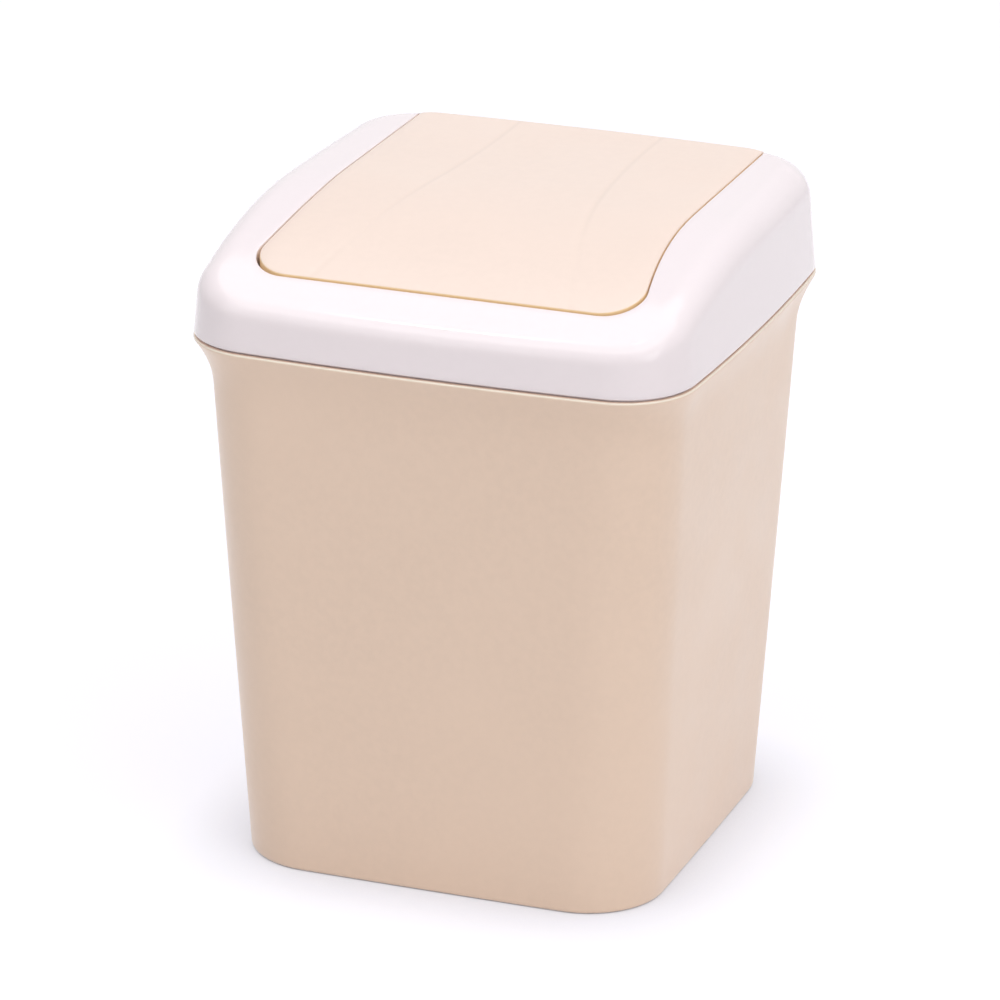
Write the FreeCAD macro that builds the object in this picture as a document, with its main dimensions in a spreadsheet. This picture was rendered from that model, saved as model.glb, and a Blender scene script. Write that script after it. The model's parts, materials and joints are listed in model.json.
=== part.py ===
"""Desktop bin: a tapered square tub, a lift-off cover frame and a swing flap.

Millimetres, +Z up, front towards -Y. The origin is on the floor, under the middle of the tub.
"""
import FreeCAD
import Part
import Sketcher

import math
import os

from FreeCAD import Rotation, Vector

# Driving dimensions: alias, value and what it measures
SIZES = [
    ("tub_height", 147.9, "floor to the top of the rim"),
    ("cover_half", 70.0, "cover's half width above the rim, at the middle of a side"),
    ("cover_corner", 20.0, "cover's corner radius in plan"),
    ("cover_bow", 900.0, "radius of the cover's gently bowed sides"),
    ("rim_step", 0.7, "how far the rim stands out past the cover's wall"),
    ("base_half", 58.4, "base's half width at the middle of a side"),
    ("base_corner", 21.5, "base's corner radius in plan"),
    ("base_bow", 4000.0, "radius of the base's nearly straight sides"),
    ("flare_out", 3.8, "how far the rim flares out from the taper"),
    ("flare_height", 14.0, "height of the flare"),
    ("tub_wall", 1.8, "tub's wall thickness"),
    ("tub_floor", 2.0, "tub's floor thickness"),
    ("foot_height", 1.2, "foot ring below the floor"),
    ("foot_width", 3.0, "foot ring's width"),
    ("floor_round", 3.0, "rounding inside, between the floor and the wall"),
    ("foot_round", 0.9, "rounding of the tub's bottom edge"),
    ("rim_round", 0.6, "rounding of the rim's outer edge"),
    ("seam_gap", 0.7, "shadow gap between the rim and the cover's wall"),
    ("seam_depth", 1.3, "depth of the shadow gap"),
    ("cover_wall", 1.8, "cover's wall thickness"),
    ("cover_draft", 3.6, "how far the cover's wall leans in over its height"),
    ("cover_height", 28.2, "cover's level shoulder, above the rim"),
    ("cover_fall", 16.78, "fall of the cover's top from its level part to the rim's front"),
    ("crest", 5.0, "where the level top starts to fall, behind the middle"),
    ("front_round", 6.3, "shoulder rounding at the front"),
    ("near_round", 6.6, "shoulder rounding at the front end of the sides"),
    ("far_round", 9.4, "shoulder rounding at the back end of the sides"),
    ("back_round", 5.4, "shoulder rounding at the back"),
    ("cover_edge", 0.4, "rounding of the opening's upper edges"),
    ("web_thick", 2.0, "web that sits on the rim"),
    ("skirt_clearance", 0.6, "clearance between the plug skirt's foot and the tub's wall"),
    ("skirt_thick", 1.5, "plug skirt's thickness"),
    ("skirt_depth", 9.5, "plug skirt's reach below the rim"),
    ("flap_proud", 0.9, "flap's level top, above the cover's"),
    ("flap_fall", 17.44, "fall of the flap's top, measured in the same way"),
    ("side_land", 20.4, "flap's straight sides, in from the rim's sides"),
    ("front_land", 16.3, "flap's front edge, in from the rim's front"),
    ("flap_flare", 245.0, "radius of the flap's sides where they widen"),
    ("flare_start", 3.0, "where the flap starts to widen, ahead of the middle"),
    ("flap_corner", 10.5, "flap's front corner radius"),
    ("flap_thick", 2.0, "flap's panel thickness"),
    ("flap_lip", 1.3, "thickness of the flap's turned-down lip"),
    ("flap_lip_depth", 4.0, "depth of the flap's edge"),
    ("flap_edge", 0.5, "rounding of the flap's upper edge"),
    ("flap_gap", 0.6, "gap between the flap and the cover's opening"),
    ("corner_ease", 1.5, "how much tighter the opening's corner is than one with an even gap"),
    ("opening_lip", 1.5, "thickness of the opening's turned-down lip"),
    ("opening_lip_depth", 5.0, "depth of the opening's turned-down lip"),
    ("tail_drop", 9.5, "tail's lower edge, below the flap's level top"),
    ("rib_thick", 1.2, "thickness of the flap's ribs"),
    ("rib_depth", 6.0, "ribs' lower edge, below the flap's top"),
    ("rib_inset", 29.1, "long ribs' back end, in from the flap's straight sides"),
    ("rib_curve", 380.0, "radius of the long ribs in plan"),
    ("rib_back_land", 18.0, "long ribs' back end, in from the rim's back"),
    ("rib_front_land", 7.7, "long ribs' front end, in from the flap's front edge"),
    ("pivot_drop", 5.5, "pivot line, below the flap's level top"),
    ("pin_radius", 2.0, "stub pin's radius"),
    ("pin_clearance", 0.05, "running clearance round a stub pin"),
    ("pin_recess", 0.3, "stub pin's end, inside the ear's outer face"),
    ("lug_thick", 2.2, "flap lug's thickness"),
    ("lug_radius", 4.5, "flap lug's rounded end"),
    ("ear_thick", 2.6, "bearing ear's thickness"),
    ("ear_radius", 5.5, "bearing ear's rounded end"),
    ("overrun", 12.0, "how far cutters and blanks run past what they cut"),
]

# Heights of the flare's sections, as shares of its height
FLARE_SHARES = (0.0, 0.35, 0.7, 1.0)

# Places that several pieces share, as expressions in the driving dimensions
SEAM = "tub_height + seam_gap"
SKIRT_FOOT = "tub_height - skirt_depth"
FLOOR_TOP = "foot_height + tub_floor"
COVER_TOP = "tub_height + cover_height"
FLAP_TOP = f"{COVER_TOP} + flap_proud"
PIVOT = f"{FLAP_TOP} - pivot_drop"
TAIL = f"{FLAP_TOP} - tail_drop"
PAST_TOP = f"{FLAP_TOP} + overrun"
PAST_RIM = "cover_half + overrun"
COVER_ARC = "((cover_half + crest) ^ 2 + cover_fall ^ 2) / (2 * cover_fall)"
FLAP_ARC = "((cover_half + crest) ^ 2 + flap_fall ^ 2) / (2 * flap_fall)"
FLAP_SIDE = "cover_half - side_land"
FLAP_FRONT = "cover_half - front_land"
RIB_SIDE = f"{FLAP_SIDE} - rib_inset"
RIB_BACK = "cover_half - rib_back_land"
RIB_FRONT = f"{FLAP_FRONT} - rib_front_land"
OPENING_SIDE = f"{FLAP_SIDE} + flap_gap"
OPENING_BACK = "cover_half - back_round"
OPENING_CORNER = "flap_corner + flap_gap - corner_ease"
TAIL_INSIDE = "cover_half - 2 * flap_thick"
COVER_OUTLINE = ("cover_half", "cover_corner", "cover_bow")

# How nearly a point has to lie on a surface to count as on it, and where along an edge that is tested
ON_SURFACE = 0.001
TEST_SHARES = (0.1, 0.5, 0.9)

# Rotation that stands a sketch up in the YZ plane, its x along +Y and its y along +Z
SIDE_VIEW = Rotation(Vector(1, 1, 1), 120)

doc = FreeCAD.newDocument("DesktopBin")
sheet = doc.addObject("Spreadsheet::Sheet", "Sizes")


def fill_sheet():
    """Write the driving dimensions into the sheet."""
    for row, (alias, value, note) in enumerate(SIZES, start=1):
        sheet.set(f"A{row}", note)
        sheet.set(f"B{row}", str(value))
        sheet.setAlias(f"B{row}", alias)
    doc.recompute()


def size(expression):
    """The value of an expression in the sheet's aliases."""
    return float(sheet.evalExpression(expression))


def bind(thing, prop, expression):
    """Tie a property to an expression in the sheet's aliases."""
    aliases = {alias for alias, value, note in SIZES}
    words = expression.replace("(", " ( ").replace(")", " ) ").split()
    tied = " ".join(f"Sizes.{word}" if word in aliases else word for word in words)
    thing.setExpression(prop, tied)


# Sketches


def level_sketch(name, height):
    """A sketch in a level plane."""
    sketch = doc.addObject("Sketcher::SketchObject", name)
    bind(sketch, "Placement.Base.z", height)
    return sketch


def side_sketch(name):
    """A sketch in the YZ plane."""
    sketch = doc.addObject("Sketcher::SketchObject", name)
    sketch.Placement = FreeCAD.Placement(Vector(), SIDE_VIEW)
    return sketch


def body_sketch(body, name, height):
    """A sketch of a body, level with its XY plane."""
    sketch = body.newObject("Sketcher::SketchObject", name)
    planes = [plane for plane in body.Origin.OriginFeatures if plane.Role == "XY_Plane"]
    sketch.AttachmentSupport = [(planes[0], "")]
    sketch.MapMode = "FlatFace"
    bind(sketch, "AttachmentOffset.Base.z", height)
    return sketch


def arc(sketch, centre, radius, start, end):
    """Add a circular arc, with angles in radians, and give its index."""
    circle = Part.Circle(centre, Vector(0, 0, 1), radius)
    return sketch.addGeometry(Part.ArcOfCircle(circle, start, end), False)


def line(sketch, start, end):
    """Add a straight line and give its index."""
    return sketch.addGeometry(Part.LineSegment(start, end), False)


def rule(sketch, kind, *places):
    """Add a geometric rule, such as Tangent or Vertical."""
    sketch.addConstraint(Sketcher.Constraint(kind, *places))


def chain(sketch, kind, first, second):
    """Join the end of one edge to the start of the next, by kind Coincident or Tangent."""
    rule(sketch, kind, first, 2, second, 1)


def measure(sketch, kind, *places, expression):
    """Add a dimension and tie it to the sheet."""
    index = sketch.addConstraint(Sketcher.Constraint(kind, *places, size(expression)))
    bind(sketch, f"Constraints[{index}]", expression)


def rounded_square(sketch, half, corner, bow):
    """Square outline with bowed sides and round corners, every arc tangent to the next."""
    behind = size(bow) - size(half)
    reach = size(bow) - size(corner)
    middle = (math.sqrt(2 * reach ** 2 - behind ** 2) - behind) / 2
    swing = math.atan2(middle, middle + behind)
    sides = []
    corners = []
    for turn in range(4):
        heading = (turn - 1) * math.pi / 2
        next_heading = heading + math.pi / 2
        spin = Rotation(Vector(0, 0, 1), math.degrees(heading))
        side_centre = spin.multVec(Vector(-behind, 0, 0))
        corner_centre = spin.multVec(Vector(middle, middle, 0))
        sides.append(arc(sketch, side_centre, size(bow), heading - swing, heading + swing))
        corners.append(arc(sketch, corner_centre, size(corner), heading + swing, next_heading - swing))
    for turn in range(4):
        chain(sketch, "Tangent", sides[turn], corners[turn])
        chain(sketch, "Tangent", corners[turn], sides[(turn + 1) % 4])
    for turn in range(1, 4):
        rule(sketch, "Equal", sides[0], sides[turn])
        rule(sketch, "Equal", corners[0], corners[turn])
    front, right, rear, left = sides
    for side, axis in ((front, -2), (right, -1), (rear, -2), (left, -1)):
        rule(sketch, "PointOnObject", side, 3, axis)
    offset = f"{bow} - ({half})"
    measure(sketch, "Radius", front, expression=bow)
    measure(sketch, "Radius", corners[0], expression=corner)
    measure(sketch, "DistanceY", -1, 1, front, 3, expression=offset)
    measure(sketch, "DistanceY", rear, 3, -1, 1, expression=offset)
    measure(sketch, "DistanceX", right, 3, -1, 1, expression=offset)
    measure(sketch, "DistanceX", -1, 1, left, 3, expression=offset)


def flap_outline(sketch, grow, corner, back):
    """The flap's outline in plan, grown all round: straight sides that widen towards the front."""
    half = f"{FLAP_SIDE} + ({grow})"
    flare = f"flap_flare - ({grow})"
    front = f"{FLAP_FRONT} + ({grow})"
    rise = size(f"{front} - flare_start - ({corner})")
    across = math.sqrt(size(f"{flare} + ({corner})") ** 2 - rise ** 2)
    bend = math.atan2(rise, across)
    side_x = size(half)
    flare_x = size(half) + size(flare)
    corner_x = flare_x - across
    start_y = -size("flare_start")
    front_y = -size(front)
    corner_y = front_y + size(corner)
    rear_y = size(back)

    nose = line(sketch, Vector(-corner_x, front_y), Vector(corner_x, front_y))
    right_corner = arc(sketch, Vector(corner_x, corner_y), size(corner), -math.pi / 2, bend)
    right_flare = arc(sketch, Vector(flare_x, start_y), size(flare), math.pi, math.pi + bend)
    right_side = line(sketch, Vector(side_x, start_y), Vector(side_x, rear_y))
    rear = line(sketch, Vector(side_x, rear_y), Vector(-side_x, rear_y))
    left_side = line(sketch, Vector(-side_x, rear_y), Vector(-side_x, start_y))
    left_flare = arc(sketch, Vector(-flare_x, start_y), size(flare), -bend, 0)
    left_corner = arc(sketch, Vector(-corner_x, corner_y), size(corner), math.pi - bend, 1.5 * math.pi)

    chain(sketch, "Tangent", nose, right_corner)
    rule(sketch, "Tangent", right_corner, 2, right_flare, 2)
    rule(sketch, "Tangent", right_flare, 1, right_side, 1)
    chain(sketch, "Coincident", right_side, rear)
    chain(sketch, "Coincident", rear, left_side)
    rule(sketch, "Tangent", left_side, 2, left_flare, 2)
    rule(sketch, "Tangent", left_flare, 1, left_corner, 1)
    chain(sketch, "Tangent", left_corner, nose)
    rule(sketch, "Horizontal", nose)
    rule(sketch, "Vertical", right_side)
    rule(sketch, "Vertical", left_side)
    rule(sketch, "Equal", right_flare, left_flare)
    rule(sketch, "Equal", right_corner, left_corner)
    rule(sketch, "Symmetric", right_side, 2, left_side, 1, -2)
    measure(sketch, "Radius", right_flare, expression=flare)
    measure(sketch, "Radius", right_corner, expression=corner)
    measure(sketch, "DistanceX", -1, 1, right_side, 2, expression=half)
    measure(sketch, "DistanceY", -1, 1, right_side, 2, expression=back)
    measure(sketch, "DistanceY", right_side, 1, -1, 1, expression="flare_start")
    measure(sketch, "DistanceY", left_side, 2, -1, 1, expression="flare_start")
    measure(sketch, "DistanceY", nose, 1, -1, 1, expression=front)


def fall_profile(sketch, top, fall, back):
    """Side profile under the lid's top: level at the back, then an arc that falls to the front."""
    crest = size("crest")
    height = size(top)
    radius = size(fall)
    front = -size(PAST_RIM)
    rear = size(back)
    foot = size(SKIRT_FOOT)
    bend = math.asin((crest - front) / radius)
    nose_height = height - radius + radius * math.cos(bend)
    level = line(sketch, Vector(rear, height), Vector(crest, height))
    slope = arc(sketch, Vector(crest, height - radius), radius, math.pi / 2, math.pi / 2 + bend)
    nose = line(sketch, Vector(front, nose_height), Vector(front, foot))
    under = line(sketch, Vector(front, foot), Vector(rear, foot))
    spine = line(sketch, Vector(rear, foot), Vector(rear, height))
    chain(sketch, "Tangent", level, slope)
    chain(sketch, "Coincident", slope, nose)
    chain(sketch, "Coincident", nose, under)
    chain(sketch, "Coincident", under, spine)
    chain(sketch, "Coincident", spine, level)
    rule(sketch, "Horizontal", level)
    rule(sketch, "Horizontal", under)
    rule(sketch, "Vertical", nose)
    rule(sketch, "Vertical", spine)
    measure(sketch, "Radius", slope, expression=fall)
    measure(sketch, "DistanceX", -1, 1, level, 2, expression="crest")
    measure(sketch, "DistanceY", -1, 1, level, 2, expression=top)
    measure(sketch, "DistanceX", nose, 1, -1, 1, expression=PAST_RIM)
    measure(sketch, "DistanceX", -1, 1, spine, 1, expression=back)
    measure(sketch, "DistanceY", -1, 1, under, 1, expression=SKIRT_FOOT)


def tongue_outline(sketch, radius):
    """A plate that hangs from above the lid to the pivot line and ends in a half round."""
    pivot = size(PIVOT)
    top = size(PAST_TOP)
    half = size(radius)
    end = arc(sketch, Vector(0, pivot), half, math.pi, 2 * math.pi)
    rise = line(sketch, Vector(half, pivot), Vector(half, top))
    head = line(sketch, Vector(half, top), Vector(-half, top))
    fall = line(sketch, Vector(-half, top), Vector(-half, pivot))
    chain(sketch, "Tangent", end, rise)
    chain(sketch, "Coincident", rise, head)
    chain(sketch, "Coincident", head, fall)
    chain(sketch, "Tangent", fall, end)
    rule(sketch, "Vertical", rise)
    rule(sketch, "Horizontal", head)
    rule(sketch, "PointOnObject", end, 3, -2)
    measure(sketch, "Radius", end, expression=radius)
    measure(sketch, "DistanceY", -1, 1, end, 3, expression=PIVOT)
    measure(sketch, "DistanceY", -1, 1, head, 1, expression=PAST_TOP)


def rib_outline(sketch, turn):
    """One long rib in plan: a band along an arc that leaves the back straight and bows outwards."""
    half = size(RIB_SIDE)
    curve = size("rib_curve")
    thick = size("rib_thick")
    back = size(RIB_BACK)
    front = -size(RIB_FRONT)
    centre = Vector(turn * (half + curve), back)
    bend = math.asin((back - front) / curve)

    def spot(radius):
        return centre + Vector(-turn * radius * math.cos(bend), -radius * math.sin(bend))

    near = curve - thick / 2
    far = curve + thick / 2
    first, last = (math.pi, math.pi + bend) if turn > 0 else (-bend, 0)
    near_arc = arc(sketch, centre, near, first, last)
    far_arc = arc(sketch, centre, far, first, last)
    back_end, front_end = (1, 2) if turn > 0 else (2, 1)
    back_line = line(sketch, centre - Vector(turn * near, 0), centre - Vector(turn * far, 0))
    front_line = line(sketch, spot(near), spot(far))
    rule(sketch, "Coincident", near_arc, 3, far_arc, 3)
    for edge, end in ((back_line, back_end), (front_line, front_end)):
        rule(sketch, "Coincident", edge, 1, near_arc, end)
        rule(sketch, "Coincident", edge, 2, far_arc, end)
    rule(sketch, "Horizontal", back_line)
    rule(sketch, "PointOnObject", near_arc, 3, back_line)
    rule(sketch, "PointOnObject", near_arc, 3, front_line)
    measure(sketch, "Radius", near_arc, expression="rib_curve - rib_thick / 2")
    measure(sketch, "Radius", far_arc, expression="rib_curve + rib_thick / 2")
    centre_at = (-1, 1, near_arc, 3) if turn > 0 else (near_arc, 3, -1, 1)
    measure(sketch, "DistanceX", *centre_at, expression=f"{RIB_SIDE} + rib_curve")
    measure(sketch, "DistanceY", -1, 1, near_arc, 3, expression=RIB_BACK)
    measure(sketch, "DistanceY", near_arc, front_end, -1, 1, expression=RIB_FRONT)


# Solids


def extrude(name, sketch, length, symmetric=False):
    """Extrude a sketch along its normal."""
    solid = doc.addObject("Part::Extrusion", name)
    solid.Base = sketch
    solid.DirMode = "Normal"
    solid.Solid = True
    solid.Symmetric = symmetric
    bind(solid, "LengthFwd", length)
    return solid


def boolean(kind, name, base, tool):
    """Combine two solids, by kind Cut or Common."""
    solid = doc.addObject(f"Part::{kind}", name)
    solid.Base = base
    solid.Tool = tool
    return solid


def fuse(name, solids):
    """Join solids into one."""
    solid = doc.addObject("Part::MultiFuse", name)
    solid.Shapes = solids
    return solid


def cut_all(name, base, tools):
    """Cut several tools out of a solid, one after another."""
    for tool in tools:
        base = boolean("Cut", f"{name}_less_{tool.Name}", base, tool)
    return base


def box(name, low, high):
    """A box between two corners, each given as three expressions."""
    solid = doc.addObject("Part::Box", name)
    for axis, side, start, end in zip("xyz", ("Length", "Width", "Height"), low, high):
        bind(solid, f"Placement.Base.{axis}", start)
        bind(solid, side, f"{end} - ({start})")
    return solid


def cross_pin(name, radius, start, end):
    """A cylinder along +X on the pivot line."""
    solid = doc.addObject("Part::Cylinder", name)
    solid.Placement = FreeCAD.Placement(Vector(), Rotation(Vector(0, 1, 0), 90))
    bind(solid, "Radius", radius)
    bind(solid, "Height", f"{end} - ({start})")
    bind(solid, "Placement.Base.x", start)
    bind(solid, "Placement.Base.z", PIVOT)
    return solid


def both_sides(start, end):
    """The x range of a piece on the left and on the right, for a piece given on the right."""
    return (("left", f"0 - ({end})", f"0 - ({start})"), ("right", start, end))


def wall_outline(height, flare):
    """The tub's outer outline at a height: half width, corner and bow, as expressions.

    The flare is the share of the rim's flare height that is reached there.
    """
    share = f"({height}) / tub_height"
    taper = "(cover_half + rim_step - flare_out - base_half)"
    half = f"base_half + {taper} * {share} + flare_out * {flare} ^ 2"
    corner = f"base_corner + (cover_corner + rim_step - base_corner) * {share}"
    bow = f"1 / ((1 - {share}) / base_bow + {share} / (cover_bow + rim_step))"
    return half, corner, bow


def set_in(outline, inset):
    """The sizes of an outline, set in all round."""
    return [f"{length} - ({inset})" for length in outline]


def wall_prism(name, outline, inset, foot, height):
    """An upright prism on an outline of the tub's wall, set in all round."""
    sketch = level_sketch(f"{name}_outline", foot)
    rounded_square(sketch, *set_in(outline, inset))
    return extrude(name, sketch, height)


def flap_prism(name, grow, corner, back):
    """An upright prism on the flap's outline, grown all round."""
    sketch = level_sketch(f"{name}_outline", SEAM)
    flap_outline(sketch, grow, corner, back)
    return extrude(name, sketch, f"{PAST_TOP} - ({SEAM})")


def fall_block(name, top, fall, back=PAST_RIM):
    """Everything under the lid's side profile."""
    sketch = side_sketch(f"{name}_profile")
    fall_profile(sketch, top, fall, back)
    return extrude(name, sketch, f"2 * ({PAST_RIM})", symmetric=True)


def tongues(name, radius, start, end):
    """A pair of plates, left and right, that hang to the pivot line."""
    plates = []
    for side, low, high in both_sides(start, end):
        sketch = side_sketch(f"{name}_{side}_outline")
        tongue_outline(sketch, radius)
        bind(sketch, "Placement.Base.x", low)
        plates.append(extrude(f"{name}_{side}", sketch, f"{high} - ({low})"))
    return fuse(name, plates)


# Edges


def touches(shell, points):
    """Whether every point lies on a shell."""
    return all(shell.distToShape(Part.Vertex(point))[0] < ON_SURFACE for point in points)


def shared_edges(shape, first, second, above):
    """Numbers of a shape's edges that lie on the skins of two other solids and rise above a height."""
    numbers = []
    for number, edge in enumerate(shape.Edges, start=1):
        if edge.BoundBox.ZMax < size(above) + ON_SURFACE:
            continue
        start, end = edge.ParameterRange
        points = [edge.valueAt(start + share * (end - start)) for share in TEST_SHARES]
        if touches(first.Shape.Shells[0], points) and touches(second.Shape.Shells[0], points):
            numbers.append(number)
    return numbers


def ease(name, solid, radius, *meetings):
    """Round a solid's edges where the skins of two other solids meet above a height."""
    doc.recompute()
    numbers = set()
    for first, second, above in meetings:
        numbers.update(shared_edges(solid.Shape, first, second, above))
    eased = doc.addObject("Part::Fillet", name)
    eased.Base = solid
    eased.Edges = [(number, size(radius), size(radius)) for number in sorted(numbers)]
    return eased


def shoulder_round(point, inset):
    """Shoulder rounding at a point of the lid's upper edge: along the sides it grows to the back."""
    if -point.y > abs(point.x):
        rounding = size("front_round")
    elif point.y > abs(point.x):
        rounding = size("back_round")
    else:
        share = 0.5 + point.y / (2 * size("cover_half - cover_corner"))
        rounding = size("near_round") + share * size("far_round - near_round")
    return rounding - size(inset)


def round_shoulders(name, blank, walls, top, inset):
    """Round the edge between the lid's walls and its top, with a radius that changes along it."""
    doc.recompute()
    shape = blank.Shape
    numbers = shared_edges(shape, walls, top, SEAM)

    def ends(number):
        edge = shape.Edges[number - 1]
        return edge.valueAt(edge.FirstParameter), edge.valueAt(edge.LastParameter)

    def turns_left(start, end):
        return start.cross(end).z > 0

    way = turns_left(*ends(numbers[0]))
    edges = []
    for number in numbers:
        start, end = ends(number)
        if turns_left(start, end) != way:
            start, end = end, start
        edges.append((number, shoulder_round(start, inset), shoulder_round(end, inset)))
    rounded = doc.addObject("Part::Fillet", name)
    rounded.Base = blank
    rounded.Edges = edges
    doc.recompute()
    return rounded


def dome(name, top, fall, inset):
    """The lid's form, set in all round: drafted walls, a falling top and round shoulders."""
    sections = []
    for end, height, lean in (("lower", SEAM, "0"), ("upper", PAST_TOP, "cover_draft")):
        sketch = level_sketch(f"{name}_{end}", height)
        rounded_square(sketch, *set_in(COVER_OUTLINE, f"{lean} + {inset}"))
        sections.append(sketch)
    walls = doc.addObject("Part::Loft", f"{name}_walls")
    walls.Sections = sections
    walls.Solid = True
    walls.Ruled = True
    under = fall_block(f"{name}_top", f"{top} - ({inset})", f"{fall} - ({inset})")
    blank = boolean("Common", f"{name}_blank", walls, under)
    return round_shoulders(name, blank, walls, under, inset)


# The tub


def tub_form(body, kind, name, foot, inset):
    """The tub's outer or inner form: a straight taper, then the flare of the rim."""
    levels = [(foot, 0)]
    levels += [(f"tub_height - flare_height * (1 - {share})", share) for share in FLARE_SHARES]
    sections = []
    for number, (height, share) in enumerate(levels):
        sketch = body_sketch(body, f"{name}_level_{number}", height)
        rounded_square(sketch, *set_in(wall_outline(height, share), inset))
        sections.append(sketch)
    for part, profiles, ruled in (("taper", sections[:2], True), ("flare", sections[1:], False)):
        form = body.newObject(f"PartDesign::{kind}Loft", f"{name}_{part}")
        form.Profile = profiles[0]
        form.Sections = profiles[1:]
        form.Ruled = ruled
        doc.recompute()


def round_loop(body, name, radius, height, outward):
    """Round the edges of the tub's wall at a height, on its outside or its inside."""
    base = body.Tip
    shape = base.Shape
    names = []
    for number, edge in enumerate(shape.Edges, start=1):
        middle = edge.valueAt(sum(edge.ParameterRange) / 2)
        level = max(abs(vertex.Z - size(height)) for vertex in edge.Vertexes)
        if level > ON_SURFACE or abs(middle.z - size(height)) > ON_SURFACE:
            continue
        for face in shape.ancestorsOfType(edge, Part.Face):
            across = face.normalAt(*face.Surface.parameter(middle))
            tall = face.BoundBox.ZLength > size("foot_height") + ON_SURFACE
            if tall and (across.x * middle.x + across.y * middle.y > 0) == outward:
                names.append(f"Edge{number}")
    rounding = body.newObject("PartDesign::Fillet", name)
    rounding.Base = (base, names)
    bind(rounding, "Radius", radius)
    doc.recompute()


def make_tub():
    """The bucket: a thin tapered wall that flares at the rim, and a floor raised on a foot ring."""
    body = doc.addObject("PartDesign::Body", "tub")
    tub_form(body, "Additive", "outside", "0", "0")
    tub_form(body, "Subtractive", "inside", FLOOR_TOP, "tub_wall")
    sketch = body_sketch(body, "foot_recess_outline", "0")
    rounded_square(sketch, *set_in(("base_half", "base_corner", "base_bow"), "foot_width"))
    recess = body.newObject("PartDesign::Pocket", "foot_recess")
    recess.Profile = sketch
    recess.Reversed = True
    bind(recess, "Length", "foot_height")
    doc.recompute()
    round_loop(body, "foot_edge", "foot_round", "0", True)
    round_loop(body, "rim_edge", "rim_round", "tub_height", True)
    round_loop(body, "floor_edge", "floor_round", FLOOR_TOP, False)
    return body


# The cover frame


def make_cover_frame():
    """The ring-shaped cover: a domed shell with an opening, bearing ears, a web and a plug skirt."""
    outer = dome("cover_outside", COVER_TOP, COVER_ARC, "0")
    inner = dome("cover_inside", COVER_TOP, COVER_ARC, "cover_wall")
    shell = boolean("Cut", "cover_shell", outer, inner)

    grown = "flap_gap + opening_lip"
    lip_prism = flap_prism("lip_prism", grown, f"{OPENING_CORNER} + opening_lip", OPENING_BACK)
    under_top = f"{COVER_TOP} - opening_lip_depth"
    lip_under = fall_block("lip_under", under_top, f"{COVER_ARC} - opening_lip_depth")
    lip = boolean("Common", "lip_blank", lip_prism, outer)
    lip = boolean("Cut", "opening_lip_block", lip, lip_under)

    ears = tongues("ear_plates", "ear_radius", OPENING_SIDE, f"{OPENING_SIDE} + ear_thick")
    ears = boolean("Common", "ears", ears, outer)

    foot_wall = wall_outline(SKIRT_FOOT, "(1 - skirt_depth / flare_height)")
    skirt_inset = "tub_wall + skirt_clearance"
    skirt_height = "skirt_depth + web_thick"
    web = wall_prism("web_blank", COVER_OUTLINE, "seam_depth", "tub_height", "web_thick")
    skirt = wall_prism("skirt_blank", foot_wall, skirt_inset, SKIRT_FOOT, skirt_height)
    throat = wall_prism("throat", foot_wall, f"{skirt_inset} + skirt_thick", SKIRT_FOOT, skirt_height)
    plug = boolean("Cut", "plug", fuse("plug_blank", [web, skirt]), throat)
    blank = fuse("cover_blank", [shell, lip, ears, plug])

    opening = flap_prism("opening", "flap_gap", OPENING_CORNER, OPENING_BACK)
    notch_low = (f"0 - ({OPENING_SIDE})", f"{OPENING_BACK} - overrun", TAIL)
    notch = box("tail_notch", notch_low, (OPENING_SIDE, PAST_RIM, PAST_TOP))
    bore_end = f"{OPENING_SIDE} + ear_thick + flap_gap"
    bore = cross_pin("pivot_bore", "pin_radius + pin_clearance", f"0 - ({bore_end})", bore_end)
    frame = cut_all("cover", blank, [opening, notch, bore])
    return ease("cover_frame", frame, "cover_edge", (outer, opening, SEAM), (outer, notch, TAIL))


# The swing flap


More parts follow.
